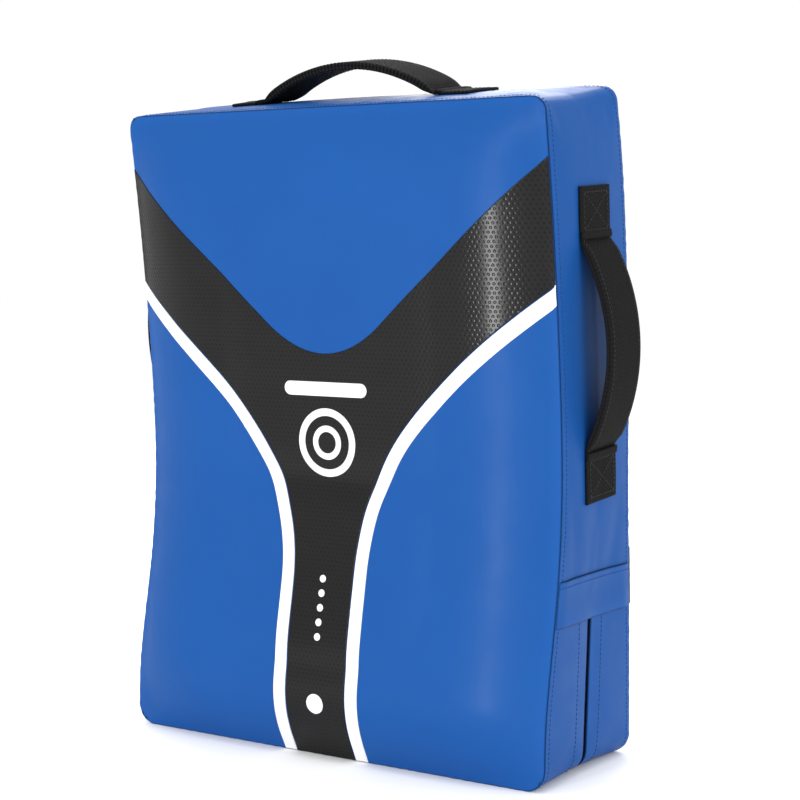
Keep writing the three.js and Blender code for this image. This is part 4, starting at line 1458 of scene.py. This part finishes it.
def add_label():
    """A white flag sewn into the left back seam."""
    base = np.array((-HALF - 0.6 * MM, back_seam(LABEL_Z), LABEL_Z))
    out = np.array((-1, 1, 0)) / math.sqrt(2)
    bow = np.array((1, 1, 0)) / math.sqrt(2)
    up = np.array((0, 0, 1))
    length, reach, tip, narrow = 25 * MM, 18 * MM, 5 * MM, 3 * MM
    t, s = np.meshgrid(np.linspace(0, 1, 12), np.linspace(0, 1, 14), indexing="ij")
    z = tip * s + (length * (1 - s) + narrow * s) * t
    curve = 0.5 * MM * np.sin(np.pi * s)
    points = base + out * (reach * s)[..., None] + up * z[..., None] + bow * curve[..., None]
    flag = new_piece("side_label", points, quads(numbered(points)), label_cloth)
    thicken(flag, 0.6 * MM)
    settle(flag, ["care_label"])


add_zip()
add_garage()
add_label()


# ---------------------------------------------------------------- the model's own pieces that stay
def dress(paint, *names, bevel=0.0):
    for name in names:
        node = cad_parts[name]
        node.data.materials.clear()
        node.data.materials.append(paint)
        if bevel:
            softened = node.modifiers.new("bevel", "BEVEL")
            softened.width = bevel
            softened.segments = 2


dress(foam, "foam_strike_layer", "foam_core", "foam_rear_layer")
dress(tape, "zip_tape_front", "zip_tape_rear", "grip_backing_left", "grip_backing_right")
dress(dark_metal, "zip_slider", "zip_pull", bevel=0.25 * MM)

# ---------------------------------------------------------------- camera, light and floor
CAMERA_AZIMUTH = math.radians(33.5)
CAMERA_PITCH = math.radians(4.5)
CAMERA_DISTANCE = 1.65


def add_camera():
    back = Vector((
        math.sin(CAMERA_AZIMUTH) * math.cos(CAMERA_PITCH),
        -math.cos(CAMERA_AZIMUTH) * math.cos(CAMERA_PITCH),
        math.sin(CAMERA_PITCH),
    ))
    data = bpy.data.cameras.new("camera")
    data.lens = 84
    camera = bpy.data.objects.new("camera", data)
    camera.location = (cad_box[0] + cad_box[1]) / 2 + back * CAMERA_DISTANCE
    camera.rotation_mode = "QUATERNION"
    camera.rotation_quaternion = (-back).to_track_quat("-Z", "Y")
    bpy.context.scene.collection.objects.link(camera)
    bpy.context.scene.camera = camera


def add_softbox(name, place, size, power, aim=(0, 0, 0.3)):
    data = bpy.data.lights.new(name, "AREA")
    data.shape = "RECTANGLE"
    data.size, data.size_y = size
    data.energy = power
    light = bpy.data.objects.new(name, data)
    light.location = place
    light.rotation_mode = "QUATERNION"
    light.rotation_quaternion = (Vector(aim) - Vector(place)).to_track_quat("-Z", "Y")
    bpy.context.scene.collection.objects.link(light)


def add_stage():
    reach = 30
    corners = [(-reach, -reach, 0), (reach, -reach, 0), (reach, reach, 0), (-reach, reach, 0)]
    paint, tree, shader, where = new_material("floor_paint", 0.9)
    speckle = noise_of(tree, where, 3.0, 3.0)
    finish_with(tree, shader, mix_colors(tree, speckle, (0.96, 0.96, 0.96, 1), (0.98, 0.98, 0.98, 1)))
    floor = new_piece("floor", np.array(corners), [(0, 1, 2, 3)], paint)
    world = bpy.data.worlds.new("studio")
    world.use_nodes = True
    background = world.node_tree.nodes["Background"]
    background.inputs["Color"].default_value = (1, 1, 1, 1)
    background.inputs["Strength"].default_value = 1.03
    bpy.context.scene.world = world
    bpy.context.scene.view_settings.view_transform = "Standard"


add_camera()
add_softbox("front_strip", (-0.12, -3.0, 0.75), (0.3, 1.7), 28)
add_softbox("low_strip", (0.05, -1.22, 0.13), (0.13, 0.24), 3.0, aim=(0.1, 0, 0.4))
add_softbox("side_light", (2.6, -0.3, 1.2), (1.0, 1.6), 22)
add_softbox("far_side_light", (-2.4, 1.2, 1.2), (1.0, 1.6), 22)
add_softbox("top_light", (0.0, 0.1, 2.4), (1.4, 1.4), 20)
add_softbox("rear_light", (-0.9, 2.5, 1.3), (1.4, 1.4), 36)
add_stage()
